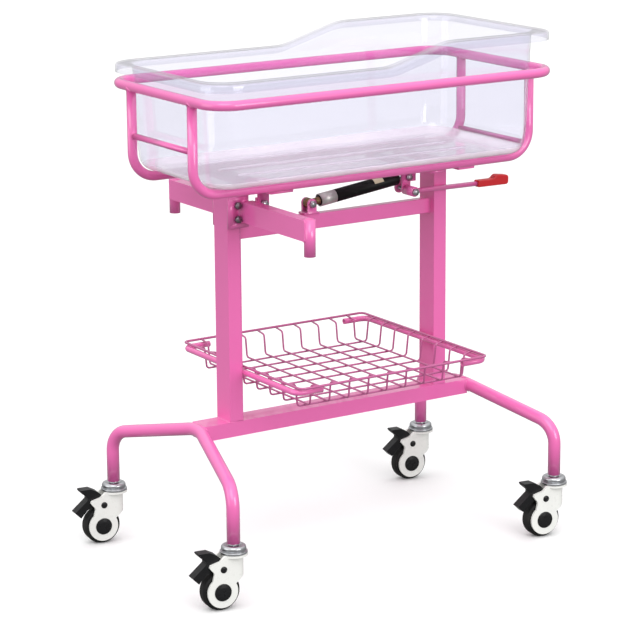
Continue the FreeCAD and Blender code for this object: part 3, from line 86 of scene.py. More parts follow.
class FinishSettings(bpy.types.PropertyGroup):
    """Colours, rounded edges and weld beads"""
    coat_colour: colour("Frame coat", "Powder coat of the steel frame", (0.87, 0.155, 0.465))
    clear_colour: colour("Tub tint", "Tint of the clear tub", (0.875, 0.87, 0.93))
    shell_colour: colour("Caster shell", "Moulded shell of the casters", (0.92, 0.92, 0.885))
    grip_colour: colour("Lever grip", "Moulded grip of the release lever", (0.62, 0.007, 0.014))
    edge_round: length("Edge round", "Rounded edges of coated box tubes", 0.0022)
    cap_round: length("Cap round", "Rounded edges of the post cap and the rest pad", 0.001)
    grip_round: length("Grip round", "Rounded edges of the lever's grip", 0.0005)
    shell_round: length("Shell round", "Rounded edges of the casters' shells", 0.0024)
    pedal_round: length("Pedal round", "Rounded edges of the brake pedals", 0.0008)
    weld_size: length("Weld bead", "Radius of the weld beads", 0.0018)


class TubSettings(bpy.types.PropertyGroup):
    """Sizes of the clear tub"""
    wall: length("Wall", "Thickness of the tub", 0.003)
    rim_foot: length("Rim at the foot", "Height of the rim at the foot end", 0.984)
    rise_start: length("Rise start", "Start of the rim's rise from the tub's middle", 0.004, -1.0)
    rise_length: length("Rise length", "Length of the rim's rise", 0.135)
    rise_round: length("Rise round", "Softness at both ends of the rise", 0.018)
    lip: length("Lip", "Turned-down lip of the rim", 0.017)
    body_length: length("Body length", "Tub outside, under the rim", 0.752)
    body_width: length("Body width", "Tub outside, under the rim", 0.346)
    taper: length("Taper", "Inward slope of each wall", 0.007)
    corner: length("Corner", "Upright corners of the tub", 0.052)
    rim_corner: length("Rim corner", "Corners of the rim", 0.062)
    floor_round: length("Floor round", "Round between walls and floor", 0.030)
    flange_round: length("Flange round", "Round between wall and flange, outside", 0.006)
    hem_round: length("Hem round", "Round between flange and lip, inside", 0.003)
    lip_round: length("Lip round", "Round along the lip's lower edge", 0.0012)
    rim_round: length("Rim round", "Round between flange and lip, outside", 0.005)
    mouth_round: length("Mouth round", "Round between flange and wall, inside", 0.007)
    rib_count: IntProperty(name="Ribs", description="Ribs moulded in the floor", default=4,
                           min=0, max=12)
    rib_width: length("Rib width", "Half the width of a rib", 0.006)
    rib_height: length("Rib height", "Height of a rib above the floor", 0.003)
    rib_pitch: length("Rib pitch", "Ribs, centre to centre", 0.072)
    rib_length: length("Rib length", "Ribs in the tub's floor", 0.54)
    rib_shift: length("Rib shift", "Middle of the ribs from the tub's middle", 0.024, -1.0)


class StageSettings(bpy.types.PropertyGroup):
    """Camera and floor"""
    lens: FloatProperty(name="Lens", description="Camera lens in millimetres", default=146.33,
                        min=10, max=500)
    azimuth: FloatProperty(name="Azimuth", description="Camera direction about the upright axis",
                           default=-0.573106, subtype="ANGLE")
    elevation: FloatProperty(name="Elevation", description="Camera direction above the horizon",
                             default=0.239642, subtype="ANGLE")
    roll: FloatProperty(name="Roll", description="Camera turn about its view", default=-0.007667,
                        subtype="ANGLE")
    position: FloatVectorProperty(name="Position", description="Camera position",
                                  default=(-2.65970, -4.08330, 1.66999), size=3,
                                  subtype="TRANSLATION", unit="LENGTH")
    floor_colour: colour("Floor", "Colour of the studio floor", (0.93, 0.93, 0.93))


# ---------------------------------------------------------------- finishes

FINISHES = {}


class Nodes:
    """Short names for building one node material."""

    def __init__(self, name):
        self.material = bpy.data.materials.new(name)
        self.material.use_nodes = True
        self.tree = self.material.node_tree
        self.shader = self.tree.nodes["Principled BSDF"]
        self.place = self.add("ShaderNodeTexCoord").outputs["Object"]

    def add(self, kind, **values):
        node = self.tree.nodes.new(kind)
        for key, value in values.items():
            setattr(node, key, value)
        return node

    def link(self, source, target):
        self.tree.links.new(source, target)

    def noise(self, scale, detail, stretch=None):
        """Noise over the object, evenly or stretched along its axes."""
        node = self.add("ShaderNodeTexNoise")
        node.inputs["Scale"].default_value = scale
        node.inputs["Detail"].default_value = detail
        if stretch is None:
            self.link(self.place, node.inputs["Vector"])
        else:
            mapping = self.add("ShaderNodeMapping")
            mapping.inputs["Scale"].default_value = stretch
            self.link(self.place, mapping.inputs["Vector"])
            self.link(mapping.outputs["Vector"], node.inputs["Vector"])
        return node.outputs["Fac"]

    def ramp(self, source, low, high, start=0.35, end=0.65):
        """Spreads a grey value between two colours or two numbers."""
        node = self.add("ShaderNodeMapRange")
        node.inputs["From Min"].default_value = start
        node.inputs["From Max"].default_value = end
        self.link(source, node.inputs["Value"])
        if isinstance(low, (int, float)):
            node.inputs["To Min"].default_value = low
            node.inputs["To Max"].default_value = high
            return node.outputs["Result"]
        mix = self.add("ShaderNodeMix", data_type="RGBA")
        self.link(node.outputs["Result"], mix.inputs["Factor"])
        mix.inputs["A"].default_value = (*low, 1)
        mix.inputs["B"].default_value = (*high, 1)
        return mix.outputs["Result"]

    def bump(self, source, strength, distance):
        """Lets a grey value roughen the surface."""
        node = self.add("ShaderNodeBump")
        node.inputs["Strength"].default_value = strength
        node.inputs["Distance"].default_value = distance
        self.link(source, node.inputs["Height"])
        self.link(node.outputs["Normal"], self.shader.inputs["Normal"])

    def set(self, **values):
        """Sets the shader's inputs, with _ for a space in their names."""
        for key, value in values.items():
            self.shader.inputs[key.replace("_", " ")].default_value = value


def shade(rgb, factor):
    """A colour made darker or lighter."""
    return tuple(min(1.0, channel * factor) for channel in rgb)


def finish(name, maker):
    """Makes a finish once and keeps it."""
    if name not in FINISHES:
        FINISHES[name] = maker(name)
    return FINISHES[name]


def powder_coat(name, tone=1.0):
    """Glossy pink powder coat with a fine orange peel and faint clouding."""
    rgb = shade(bpy.context.scene.bassinet_finish.coat_colour, tone)
    nodes = Nodes(name)
    nodes.link(nodes.ramp(nodes.noise(5, 3), shade(rgb, 0.985), shade(rgb, 1.01), 0.3, 0.7),
               nodes.shader.inputs["Base Color"])
    nodes.link(nodes.ramp(nodes.noise(25, 2), 0.3, 0.36), nodes.shader.inputs["Roughness"])
    nodes.bump(nodes.noise(900, 2), 0.05, 0.0004)
    nodes.set(Coat_Weight=1.0, Coat_Roughness=0.08, IOR=1.5)
    return nodes.material


def wire_coat(name):
    """The same coat, darkened on the basket's thin wires as painted shade."""
    return powder_coat(name, 0.58)


def zinc(name, tone=(0.55, 0.56, 0.58), rough=0.32, patchy=1.0):
    """Zinc plating with fine brushing and patchy dulling."""
    nodes = Nodes(name)
    dull, bright = shade(tone, 1 - 0.1 * patchy), shade(tone, 1 + 0.06 * patchy)
    nodes.link(nodes.ramp(nodes.noise(60, 4), dull, bright), nodes.shader.inputs["Base Color"])
    nodes.link(nodes.ramp(nodes.noise(200, 2), rough - 0.06 * patchy, rough + 0.08 * patchy),
               nodes.shader.inputs["Roughness"])
    nodes.bump(nodes.noise(1500, 2, stretch=(1, 1, 6)), 0.05, 0.0002)
    nodes.set(Metallic=1.0)
    return nodes.material


def dull_bolt(name):
    """Dull grey zinc of the arm bolts."""
    return zinc(name, (0.3, 0.28, 0.3), 0.42)


def swivel_zinc(name):
    """Even zinc of the casters' swivel heads."""
    return zinc(name, (0.5, 0.51, 0.53), 0.3, patchy=0.3)


def bronze(name):
    """Brown plating of the gas spring's lower eye."""
    return zinc(name, (0.26, 0.17, 0.09), 0.4)


def polished_rod(name):
    """Bright chrome with fine marks round the rod."""
    nodes = Nodes(name)
    nodes.link(nodes.ramp(nodes.noise(300, 2, stretch=(6, 1, 6)), 0.1, 0.2),
               nodes.shader.inputs["Roughness"])
    nodes.link(nodes.ramp(nodes.noise(40, 3), (0.66, 0.67, 0.69), (0.78, 0.79, 0.8)),
               nodes.shader.inputs["Base Color"])
    nodes.set(Metallic=1.0)
    return nodes.material


def satin_alloy(name):
    """Pale grey alloy with fine turning marks."""
    nodes = Nodes(name)
    nodes.link(nodes.ramp(nodes.noise(70, 4), (0.5, 0.49, 0.47), (0.62, 0.61, 0.59)),
               nodes.shader.inputs["Base Color"])
    nodes.link(nodes.ramp(nodes.noise(500, 2, stretch=(8, 1, 8)), 0.28, 0.5),
               nodes.shader.inputs["Roughness"])
    nodes.set(Metallic=0.6)
    return nodes.material


def moulded(name, rgb, rough, grain, coat, shine=0.5):
    """Moulded plastic with a fine grain and faint flow marks."""
    nodes = Nodes(name)
    nodes.link(nodes.ramp(nodes.noise(18, 4), shade(rgb, 0.97), shade(rgb, 1.02)),
               nodes.shader.inputs["Base Color"])
    nodes.link(nodes.ramp(nodes.noise(120, 3), rough - 0.05, rough + 0.08),
               nodes.shader.inputs["Roughness"])
    nodes.bump(nodes.noise(1200, 2), grain, 0.0003)
    nodes.set(Coat_Weight=coat, Coat_Roughness=0.1, Specular_IOR_Level=shine)
    return nodes.material


def white_shell(name):
    """Glossy white shell of the casters."""
    return moulded(name, bpy.context.scene.bassinet_finish.shell_colour, 0.3, 0.04, 0.3)


def red_grip(name):
    """Soft red grip of the release lever."""
    return moulded(name, bpy.context.scene.bassinet_finish.grip_colour, 0.4, 0.1, 0.08)


def black_plastic(name):
    """Black plastic of the pedals and the post cap."""
    return moulded(name, (0.008, 0.008, 0.009), 0.36, 0.12, 0.0, 0.25)


def black_cap(name):
    """Smooth black caps of the casters' pins."""
    return moulded(name, (0.009, 0.009, 0.01), 0.28, 0.06, 0.0, 0.3)


def black_enamel(name):
    """Black enamel of the gas spring's cylinder."""
    return moulded(name, (0.003, 0.003, 0.003), 0.4, 0.03, 0.0, 0.25)


def tread_rubber(name):
    """Matt black tread, greyed in random patches."""
    nodes = Nodes(name)
    nodes.link(nodes.ramp(nodes.noise(45, 5), (0.008, 0.008, 0.009), (0.022, 0.021, 0.02)),
               nodes.shader.inputs["Base Color"])
    nodes.link(nodes.ramp(nodes.noise(90, 3), 0.5, 0.7), nodes.shader.inputs["Roughness"])
    nodes.bump(nodes.noise(700, 3), 0.2, 0.0004)
    nodes.set(Specular_IOR_Level=0.2)
    return nodes.material


def pale_label(name):
    """A bare yellowish paper label."""
    nodes = Nodes(name)
    nodes.link(nodes.ramp(nodes.noise(60, 3), (0.62, 0.56, 0.36), (0.74, 0.68, 0.48)),
               nodes.shader.inputs["Base Color"])
    nodes.set(Roughness=0.45)
    return nodes.material


def frosted_floor(name):
    """The tub's plastic where it is scuffed and slightly milky, in its floor, tinted pink as a
    painted reflection of the pink frame below.
    """
    nodes = Nodes(name)
    # painted reflection: the pink in these colours stands for the pink frame seen through the floor
    nodes.link(nodes.ramp(nodes.noise(9, 4), (0.93, 0.87, 0.92), (0.98, 0.92, 0.97)),
               nodes.shader.inputs["Base Color"])
    nodes.set(Transmission_Weight=0.6, IOR=1.0, Coat_Weight=1.0, Coat_IOR=1.5, Coat_Roughness=0.05)
    nodes.link(nodes.ramp(nodes.noise(60, 3), 0.03, 0.08),
               nodes.shader.inputs["Roughness"])
    nodes.bump(nodes.noise(14, 2), 0.02, 0.001)
    return nodes.material


def clear_plastic(name):
    """Clear polished plastic, very slightly wavy, faintly blue, with painted shade that greys it
    where it is seen edge-on.
    """
    rgb = bpy.context.scene.bassinet_finish.clear_colour
    nodes = Nodes(name)
    # painted shade: the base colour turns greyer where the surface is seen edge-on
    edge = nodes.add("ShaderNodeLayerWeight")
    edge.inputs["Blend"].default_value = 0.35
    nodes.link(nodes.ramp(edge.outputs["Facing"], rgb, shade(rgb, 0.72), 0.66, 1.0),
               nodes.shader.inputs["Base Color"])
    nodes.set(Transmission_Weight=1.0, IOR=1.0, Coat_Weight=1.0, Coat_IOR=1.5, Coat_Roughness=0.03)
    nodes.link(nodes.ramp(nodes.noise(6, 3), 0.0, 0.03), nodes.shader.inputs["Roughness"])
    nodes.bump(nodes.noise(14, 2), 0.02, 0.001)
    return nodes.material


def floor_paint(name):
    """Flat pale paint of the studio floor."""
    rgb = bpy.context.scene.bassinet_stage.floor_colour
    nodes = Nodes(name)
    nodes.link(nodes.ramp(nodes.noise(3, 3), shade(rgb, 0.995), shade(rgb, 1.005)),
               nodes.shader.inputs["Base Color"])
    nodes.set(Roughness=0.6, Specular_IOR_Level=0.2)
    return nodes.material


# ---------------------------------------------------------------- shaping tools

SEAM_GAP = 0.00002                  # points of a carried-over mesh nearer than this are one
CREASE_ANGLE = math.radians(35)     # sharper turns stay creased
EDGE_ANGLE = math.radians(50)       # sharper turns are rounded


def dress(names, finish_material, bevel=0.0):
    """Gives carried-over nodes a finish, smooth curved faces and, where asked, softened edges."""
    for name in names:
        node = NODES[name]
        node.data.materials.clear()
        node.data.materials.append(finish_material)
        join = node.modifiers.new("Join", "WELD")
        join.merge_threshold = SEAM_GAP
        if bevel:
            edge = node.modifiers.new("Edges", "BEVEL")
            edge.width = bevel
            edge.segments = 2
            edge.limit_method = "ANGLE"
            edge.angle_limit = EDGE_ANGLE
            flats = node.modifiers.new("Flats", "WEIGHTED_NORMAL")
            flats.keep_sharp = True
        for face in node.data.polygons:
            face.use_smooth = True
        node.data.set_sharp_from_angle(angle=CREASE_ANGLE)


def new_piece(name, mesh, body, material, smooth=True):
    """Puts a mesh in the scene as a piece that rides on a body."""
    piece = bpy.data.objects.new(name, mesh)
    bpy.context.scene.collection.objects.link(piece)
    mesh.materials.append(material)
    for face in mesh.polygons:
        face.use_smooth = smooth
    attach(piece, body)
    return piece


def mesh_from(name, bm):
    """Turns an edit mesh into a mesh with its faces pointing outwards."""
    mesh = bpy.data.meshes.new(name)
    bmesh.ops.recalc_face_normals(bm, faces=bm.faces)
    bm.to_mesh(mesh)
    bm.free()
    return mesh


def bridge(bm, rings):
    """Quads between neighbouring rings of vertices."""
    for near, far in zip(rings, rings[1:]):
        count = len(near)
        for i in range(count):
            k = (i + 1) % count
            bm.faces.new((near[i], near[k], far[k], far[i]))


BEAD_SIDES = 8
RIPPLE_PITCH = 0.004    # points along a straight bead
RIPPLE_DEPTH = 0.12     # share of the bead's radius
RIPPLE_RATE = 2.3       # radians from point to point


def bead(bm, path, radius, closed):
    """A rippled round bead along a row of points."""
    points = [Vector(point) for point in path]
    count = len(points)
    rings = []
    for i, point in enumerate(points):
        before = points[(i - 1) % count] if closed or i else point
        after = points[(i + 1) % count] if closed or i < count - 1 else point
        along = (after - before).normalized()
        if rings:
            side = rings[-1][0].co - point
            side = (side - along * side.dot(along)).normalized()
        else:
            side = along.orthogonal().normalized()
        other = along.cross(side)
        swell = radius * (1 + RIPPLE_DEPTH * math.sin(i * RIPPLE_RATE))
        rings.append([bm.verts.new(v) for v in circle(point, swell, side, other, BEAD_SIDES)])
    bridge(bm, rings)
    if closed:
        first, last = rings[0], rings[-1]
        shift = min(range(BEAD_SIDES), key=lambda k: (last[0].co - first[k].co).length)
        bridge(bm, [last, first[shift:] + first[:shift]])
    else:
        bm.faces.new(rings[0])
        bm.faces.new(rings[-1])


def straight_run(corners):
    """Evenly spaced points along the straight lines between corners."""
    points = []
    for start, end in zip(corners, corners[1:]):
        start, end = Vector(start), Vector(end)
        count = max(1, round((end - start).length / RIPPLE_PITCH))
        points += [start.lerp(end, k / count) for k in range(count)]
    return points + [Vector(corners[-1])]


def circle(middle, radius, side, other, steps, half=False):
    """Points round a circle, or half of one, from one side towards the other."""
    side, other, turn = Vector(side), Vector(other), math.pi if half else 2 * math.pi
    return [Vector(middle) + side * (radius * math.cos(t)) + other * (radius * math.sin(t))
            for t in (turn * k / steps for k in range(steps + 1 if half else steps))]


def seam(node, outline, direction):
    """Points where lines from an outline, all in one direction, meet a node."""
    mesh = NODES[node].data
    tree = BVHTree.FromPolygons([v.co for v in mesh.vertices], [p.vertices for p in mesh.polygons])
    hits = [tree.ray_cast(Vector(point), Vector(direction))[0] for point in outline]
    return [hit for hit in hits if hit is not None]


def turning(steps, degrees=90):
    """Sines and cosines of even steps through a turn."""
    angles = [math.radians(degrees * k / steps) for k in range(steps + 1)]
    return [(math.sin(t), math.cos(t)) for t in angles]


def rounded_loop(half_a, half_b, corner, per_corner, along_a, along_b):
    """Points round a rounded rectangle, starting with the corner where both are positive."""
    points = []
    centres = ((1, 1, 0), (-1, 1, 90), (-1, -1, 180), (1, -1, 270))
    for index, (sign_a, sign_b, start) in enumerate(centres):
        for k in range(per_corner + 1):
            t = math.radians(start + 90 * k / per_corner)
            points.append((sign_a * (half_a - corner) + corner * math.cos(t),
                           sign_b * (half_b - corner) + corner * math.sin(t)))
        next_a, next_b = centres[(index + 1) % 4][:2]
        t = math.radians(start + 90)
        begin = Vector(points[-1])
        end = Vector((next_a * (half_a - corner) + corner * math.cos(t),
                      next_b * (half_b - corner) + corner * math.sin(t)))
        pieces = along_a if index % 2 == 0 else along_b
        points += [tuple(begin.lerp(end, k / pieces)) for k in range(1, pieces)]
    return points


# ---------------------------------------------------------------- pieces

PINK_BOXES = ("base_beam", "foot_post", "head_post", "upper_stretcher", "pole_arm_front",
              "pole_arm_rear", "rest_bar")
PINK_PLATES = ("arm_plates", "hinge_lugs", "hinge_bracket", "spring_clevis", "release_bracket")
PINK_TUBES = ("leg_tube_foot", "leg_tube_head", "pole_socket_front", "pole_socket_rear",
              "basket_bracket_foot", "basket_bracket_head", "top_rail", "long_tube_front",
              "long_tube_rear", "end_rods", "release_lever")


class BASSINET_OT_coat_frame(bpy.types.Operator):
    """Coat the steel frame, stand, brackets and basket"""
    bl_idname = "bassinet.coat_frame"
    bl_label = "Coat frame"

    def execute(self, context):
        coat = finish("powder_coat", powder_coat)
        dress(PINK_BOXES, coat, bevel=context.scene.bassinet_finish.edge_round)
        dress(PINK_PLATES, coat)
        dress(PINK_TUBES, coat)
        # the wires get a darker copy of the coat: painted shade
        dress(("basket_rim", "basket_wires"), finish("wire_coat", wire_coat))
        return {"FINISHED"}


BEAD_SHORT = 0.002          # beads end this far from an edge
OFF_POST = 0.0015           # bracket beads stand off the post's face
INTO_BRACKET = 0.001        # and lie inside the bracket's top and bottom
BRACKET_HALF = 0.02         # half the length of a bracket's bead
UNDER_RAIL = 0.9            # a height between the end rods and the rail
BETWEEN_UPRIGHTS = 0.07     # a distance to the side, short of the uprights
RING_SHARE = 0.98           # rings keep inside the upright's own outline
END_ROD_RADIUS = 0.006
BESIDE_TUBE = 0.004         # plate beads lie this far in from the tube's middle
ABOVE_PLATE = 0.0006        # and this far above the plate
# points round half a pole socket, an upright and an end rod
SOCKET_POINTS, UPRIGHT_POINTS, ROD_POINTS = 14, 26, 18


class BASSINET_OT_lay_welds(bpy.types.Operator):
    """Lay the weld beads of the stand and of the tub's frame"""
    bl_idname = "bassinet.lay_welds"
    bl_label = "Lay welds"

    def execute(self, context):
        size = context.scene.bassinet_finish.weld_size
        coat = finish("powder_coat", powder_coat)
        for name, body, lay in (("stand_welds", "stand", self.stand),
                                ("frame_welds", "tub_frame", self.frame)):
            bm = bmesh.new()
            for path, closed in lay():
                bead(bm, path, size, closed)
            new_piece(name, mesh_from(name, bm), body, coat)
        return {"FINISHED"}

    def stand(self):
        """Beam to legs, posts to beam, stretcher to posts, arms to sockets, brackets to posts."""
        low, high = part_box("base_beam")
        for leg, x, way in (("leg_tube_foot", FOOT_POST_LOW.x, -1),
                            ("leg_tube_head", HEAD_POST_HIGH.x, 1)):
            over = [(x, low.y, low.z), (x, low.y, high.z), (x, high.y, high.z), (x, high.y, low.z)]
            yield seam(leg, straight_run(over), (way, 0, 0)), False
        for x in (FOOT_POST_LOW.x, FOOT_POST_HIGH.x, HEAD_POST_LOW.x, HEAD_POST_HIGH.x):
            across = [(x, low.y + BEAD_SHORT, high.z), (x, high.y - BEAD_SHORT, high.z)]
            yield straight_run(across), False
        low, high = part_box("upper_stretcher")
        for x in (low.x, high.x):
            around = [(x, low.y, low.z), (x, low.y, high.z), (x, high.y, high.z),
                      (x, high.y, low.z), (x, low.y, low.z)]
            yield straight_run(around)[:-1], True
        for side, inward in (("front", 1), ("rear", -1)):
            arm_low, arm_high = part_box("pole_arm_" + side)
            low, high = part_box("pole_socket_" + side)
            middle = (low + high) / 2
            radius = (high.x - low.x) / 2
            for x in (low.x, high.x):
                yield straight_run([(x, middle.y, arm_low.z), (x, middle.y, arm_high.z)]), False
            for z in (arm_low.z, arm_high.z):
                yield circle((middle.x, middle.y, z), radius, (-1, 0, 0), (0, inward, 0),
                             SOCKET_POINTS, half=True), False
        for end, x in (("foot", FOOT_POST_HIGH.x + OFF_POST), ("head", HEAD_POST_LOW.x - OFF_POST)):
            low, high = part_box("basket_bracket_" + end)
            for z in (low.z + INTO_BRACKET, high.z - INTO_BRACKET):
                yield straight_run([(x, -BRACKET_HALF, z), (x, BRACKET_HALF, z)]), False

    def frame(self):
        """Uprights to rail, end rods to uprights, brackets to the long tubes."""
        rod = END_ROD_RADIUS
        rods_low, rods_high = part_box("end_rods")
        rod_ends = ((rods_low.x + rod, rods_high.z - rod), (rods_high.x - rod, rods_low.z + rod))
        for side, way in (("front", -1), ("rear", 1)):
            tube = "long_tube_" + side
            low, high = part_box(tube)
            radius = (high.y - low.y) / 2
            y = (low.y + high.y) / 2
            for x in (low.x + radius, high.x - radius):
                ring = circle((x, y, UNDER_RAIL), radius * RING_SHARE, (1, 0, 0), (0, 1, 0),
                              UPRIGHT_POINTS)
                yield seam("top_rail", ring, (0, 0, 1)), True
            for x, z in rod_ends:
                ring = circle((x, way * BETWEEN_UPRIGHTS, z), rod, (1, 0, 0), (0, 0, 1),
                              ROD_POINTS)
                yield seam(tube, ring, (0, way, 0)), True
            beside = y - way * BESIDE_TUBE
            for plate in ("hinge_bracket", "release_bracket", "rest_bar"):
                low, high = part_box(plate)
                z = high.z + ABOVE_PLATE
                yield straight_run([(low.x + BEAD_SHORT, beside, z),
                                    (high.x - BEAD_SHORT, beside, z)]), False


class BASSINET_OT_plate_fasteners(bpy.types.Operator):
    """Plate the bolts, pins, plugs and swivel heads, and fit the caps and rest pad"""
    bl_idname = "bassinet.plate_fasteners"
    bl_label = "Plate fasteners"

    def execute(self, context):
        sizes = context.scene.bassinet_finish
        dress(("hinge_bolts", "spring_clevis_pin", "bracket_pins", "leg_plugs", "caster_stems",
               "caster_nuts"), finish("zinc_fastener", zinc))
        dress(("arm_bolts",), finish("dark_bolt", dull_bolt))
        dress(("caster_heads",), finish("zinc_head", swivel_zinc))
        dress(("post_cap",), finish("black_plastic", black_plastic), sizes.cap_round)
        dress(("rest_pad",), finish("tread_rubber", tread_rubber), sizes.cap_round)
        return {"FINISHED"}


SIDE_STEPS, END_STEPS, CORNER_STEPS, FLOOR_STEPS = 72, 14, 10, 8
FLOOR_MARGINS = (0.03, 0.006, 0.001)    # loops in the flat floor, in from its edge
WALL_STEP = 0.05                        # loops in the wall, up from the bottom
RIB_SINK = 0.0005                       # ribs reach this far into the floor
# distance from a rib's end, share of its full height there
RIB_END = ((0.0, 0.1), (0.002, 0.7), (0.006, 1.0))


class TubShape:
    """The tub's surface as loops of points, from under its floor over the rim and back inside."""

    def __init__(self, sizes):
        self.sizes = sizes
        self.middle = (TUB_LOW.x + TUB_HIGH.x) / 2
        self.half_rim_x = (TUB_HIGH.x - TUB_LOW.x) / 2
        self.half_rim_y = (TUB_HIGH.y - TUB_LOW.y) / 2
        self.bottom = TUB_LOW.z
        self.rise = TUB_HIGH.z - sizes.rim_foot

    def bend(self, run):
        """A level line that turns up to an even slope, rounded on both sides of the turn."""
        soft = self.sizes.rise_round
        if run <= -soft:
            return 0.0
        return run if run >= soft else (run + soft) ** 2 / (4 * soft)

    def rim_rise(self, x):
        """Height of the rim above its foot end: two level runs joined by a rounded slope."""
        sizes = self.sizes
        along = x - self.middle - sizes.rise_start
        steep = self.rise / sizes.rise_length
        return steep * (self.bend(along) - self.bend(along - sizes.rise_length))

    def climb(self, height):
        """A height's share of the way from the bottom to the rim at the foot end."""
        return (height - self.bottom) / (self.sizes.rim_foot - self.bottom)

    def loop(self, half_x, half_y, corner, height, share):
        """A rounded rectangle that follows a share of the rim's rise."""
        flat = rounded_loop(half_x, half_y, corner, CORNER_STEPS, SIDE_STEPS, END_STEPS)
        return [(self.middle + x, y, height + share * self.rim_rise(self.middle + x))
                for x, y in flat]

    def wall_loop(self, inset, height):
        """A loop round the leaning wall, drawn in from its outside."""
        sizes, share = self.sizes, self.climb(height)
        lean = sizes.taper * (1 - min(share, 1.0))
        return self.loop(sizes.body_length / 2 - lean - inset, sizes.body_width / 2 - lean - inset,
                         sizes.corner - inset, height, share)

    def rim_loop(self, inset, height):
        """A loop round the rim, drawn in from its outer edge."""
        return self.loop(self.half_rim_x - inset, self.half_rim_y - inset,
                         self.sizes.rim_corner - inset, height, 1.0)

    def floor_loops(self, inset):
        """Loops from the flat floor out round the bottom edge to the wall."""
        sizes = self.sizes
        level = self.bottom + inset
        radius = sizes.floor_round - inset
        half_x = sizes.body_length / 2 - sizes.taper - inset
        half_y = sizes.body_width / 2 - sizes.taper - inset
        flat_corner = sizes.corner - sizes.floor_round
        loops = [self.loop(half_x - radius - margin, half_y - radius - margin, flat_corner,
                           level, 0.0) for margin in FLOOR_MARGINS]
        for step, (sine, cosine) in enumerate(turning(FLOOR_STEPS)):
            pull = radius * (1 - sine)
            height = level + radius * (1 - cosine)
            loops.append(self.loop(half_x - pull, half_y - pull, sizes.corner - inset - pull,
                                   height, self.climb(height) * step / FLOOR_STEPS))
        return loops

    def loops(self):
        """Floor and wall outside, flange, lip, rim, mouth, then wall and floor inside."""
        sizes = self.sizes
        wall, top = sizes.wall, sizes.rim_foot
        flange, hem, edge, mouth = (sizes.flange_round, sizes.hem_round, sizes.rim_round,
                                    sizes.mouth_round)
        under, lip_end = top - wall, top - sizes.lip
        levels = [self.bottom + WALL_STEP * step for step in (1, 2, 3)]
        loops = self.floor_loops(0.0)
        loops += [self.wall_loop(0.0, height) for height in (*levels, under - 2 * flange)]
        loops += [self.wall_loop(-flange * (1 - cosine), under - flange * (1 - sine))
                  for sine, cosine in turning(3)]
        loops += [self.rim_loop(wall + hem * (1 - sine), under - hem * (1 - cosine))
                  for sine, cosine in turning(3)]
        loops.append(self.rim_loop(wall, lip_end + hem))
        loops += [self.rim_loop(wall / 2 * (1 + cosine), lip_end + sizes.lip_round * (1 - sine))
                  for sine, cosine in turning(4, 180)]
        loops += [self.rim_loop(edge * (1 - cosine), top - edge * (1 - sine))
                  for sine, cosine in turning(5)]
        loops += [self.wall_loop(wall - mouth * (1 - sine), top - mouth * (1 - cosine))
                  for sine, cosine in turning(5)]
        loops += [self.wall_loop(wall, height) for height in reversed(levels)]
        return loops + self.floor_loops(wall)[::-1]

    def rib(self, bm, number):
        """A low rounded rib on the floor, with softly domed ends."""
        sizes = self.sizes
        x = self.middle + sizes.rib_shift
        y = (number - (sizes.rib_count - 1) / 2) * sizes.rib_pitch
        sunk = self.bottom + sizes.wall - RIB_SINK
        half = sizes.rib_length / 2
        stations = [(x - half + run, share) for run, share in RIB_END]
        stations += [(x + half - run, share) for run, share in reversed(RIB_END)]
        rings = [[bm.verts.new((along, y + sizes.rib_width * share ** 0.5 * cosine,
                                sunk + (sizes.rib_height + RIB_SINK) * share * sine ** 0.6))
                  for sine, cosine in turning(10, 180)] for along, share in stations]
        bridge(bm, rings)
        bm.faces.new(rings[0])
        bm.faces.new(rings[-1])


class BASSINET_OT_make_tub(bpy.types.Operator):
    """Mould the clear tub with its rolled rim and raised head end"""
    bl_idname = "bassinet.make_tub"
    bl_label = "Make tub"

    def execute(self, context):
        sizes = context.scene.bassinet_tub
        shape = TubShape(sizes)
        bm = bmesh.new()
        rings = [[bm.verts.new(point) for point in loop] for loop in shape.loops()]
        bridge(bm, rings)
        bm.faces.new(reversed(rings[0]))
        bm.faces.new(rings[-1])
        for number in range(sizes.rib_count):
            shape.rib(bm, number)
        mesh = mesh_from("tub_moulding", bm)
        piece = new_piece("tub_moulding", mesh, "tub",
                          finish("clear_plastic", clear_plastic))
        mesh.materials.append(finish("frosted_floor", frosted_floor))
        # the floor faces get the milky finish with its painted pink reflection
        for face in mesh.polygons:
            if face.center.z < shape.bottom + sizes.floor_round / 2:
                face.material_index = 1
        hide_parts("tub")
        return {"FINISHED"}


EYE_END = 0.0225                            # end of the lower eye, from its pin
LABEL_START, LABEL_END = 0.151, 0.173       # along the spring, from the same pin
LABEL_SINK, LABEL_LIFT = -0.0003, 0.0002    # from the cylinder's surface
LABEL_LOW_ANGLE, LABEL_STEP, LABEL_STEPS = 20, 5, 12    # degrees up from the front


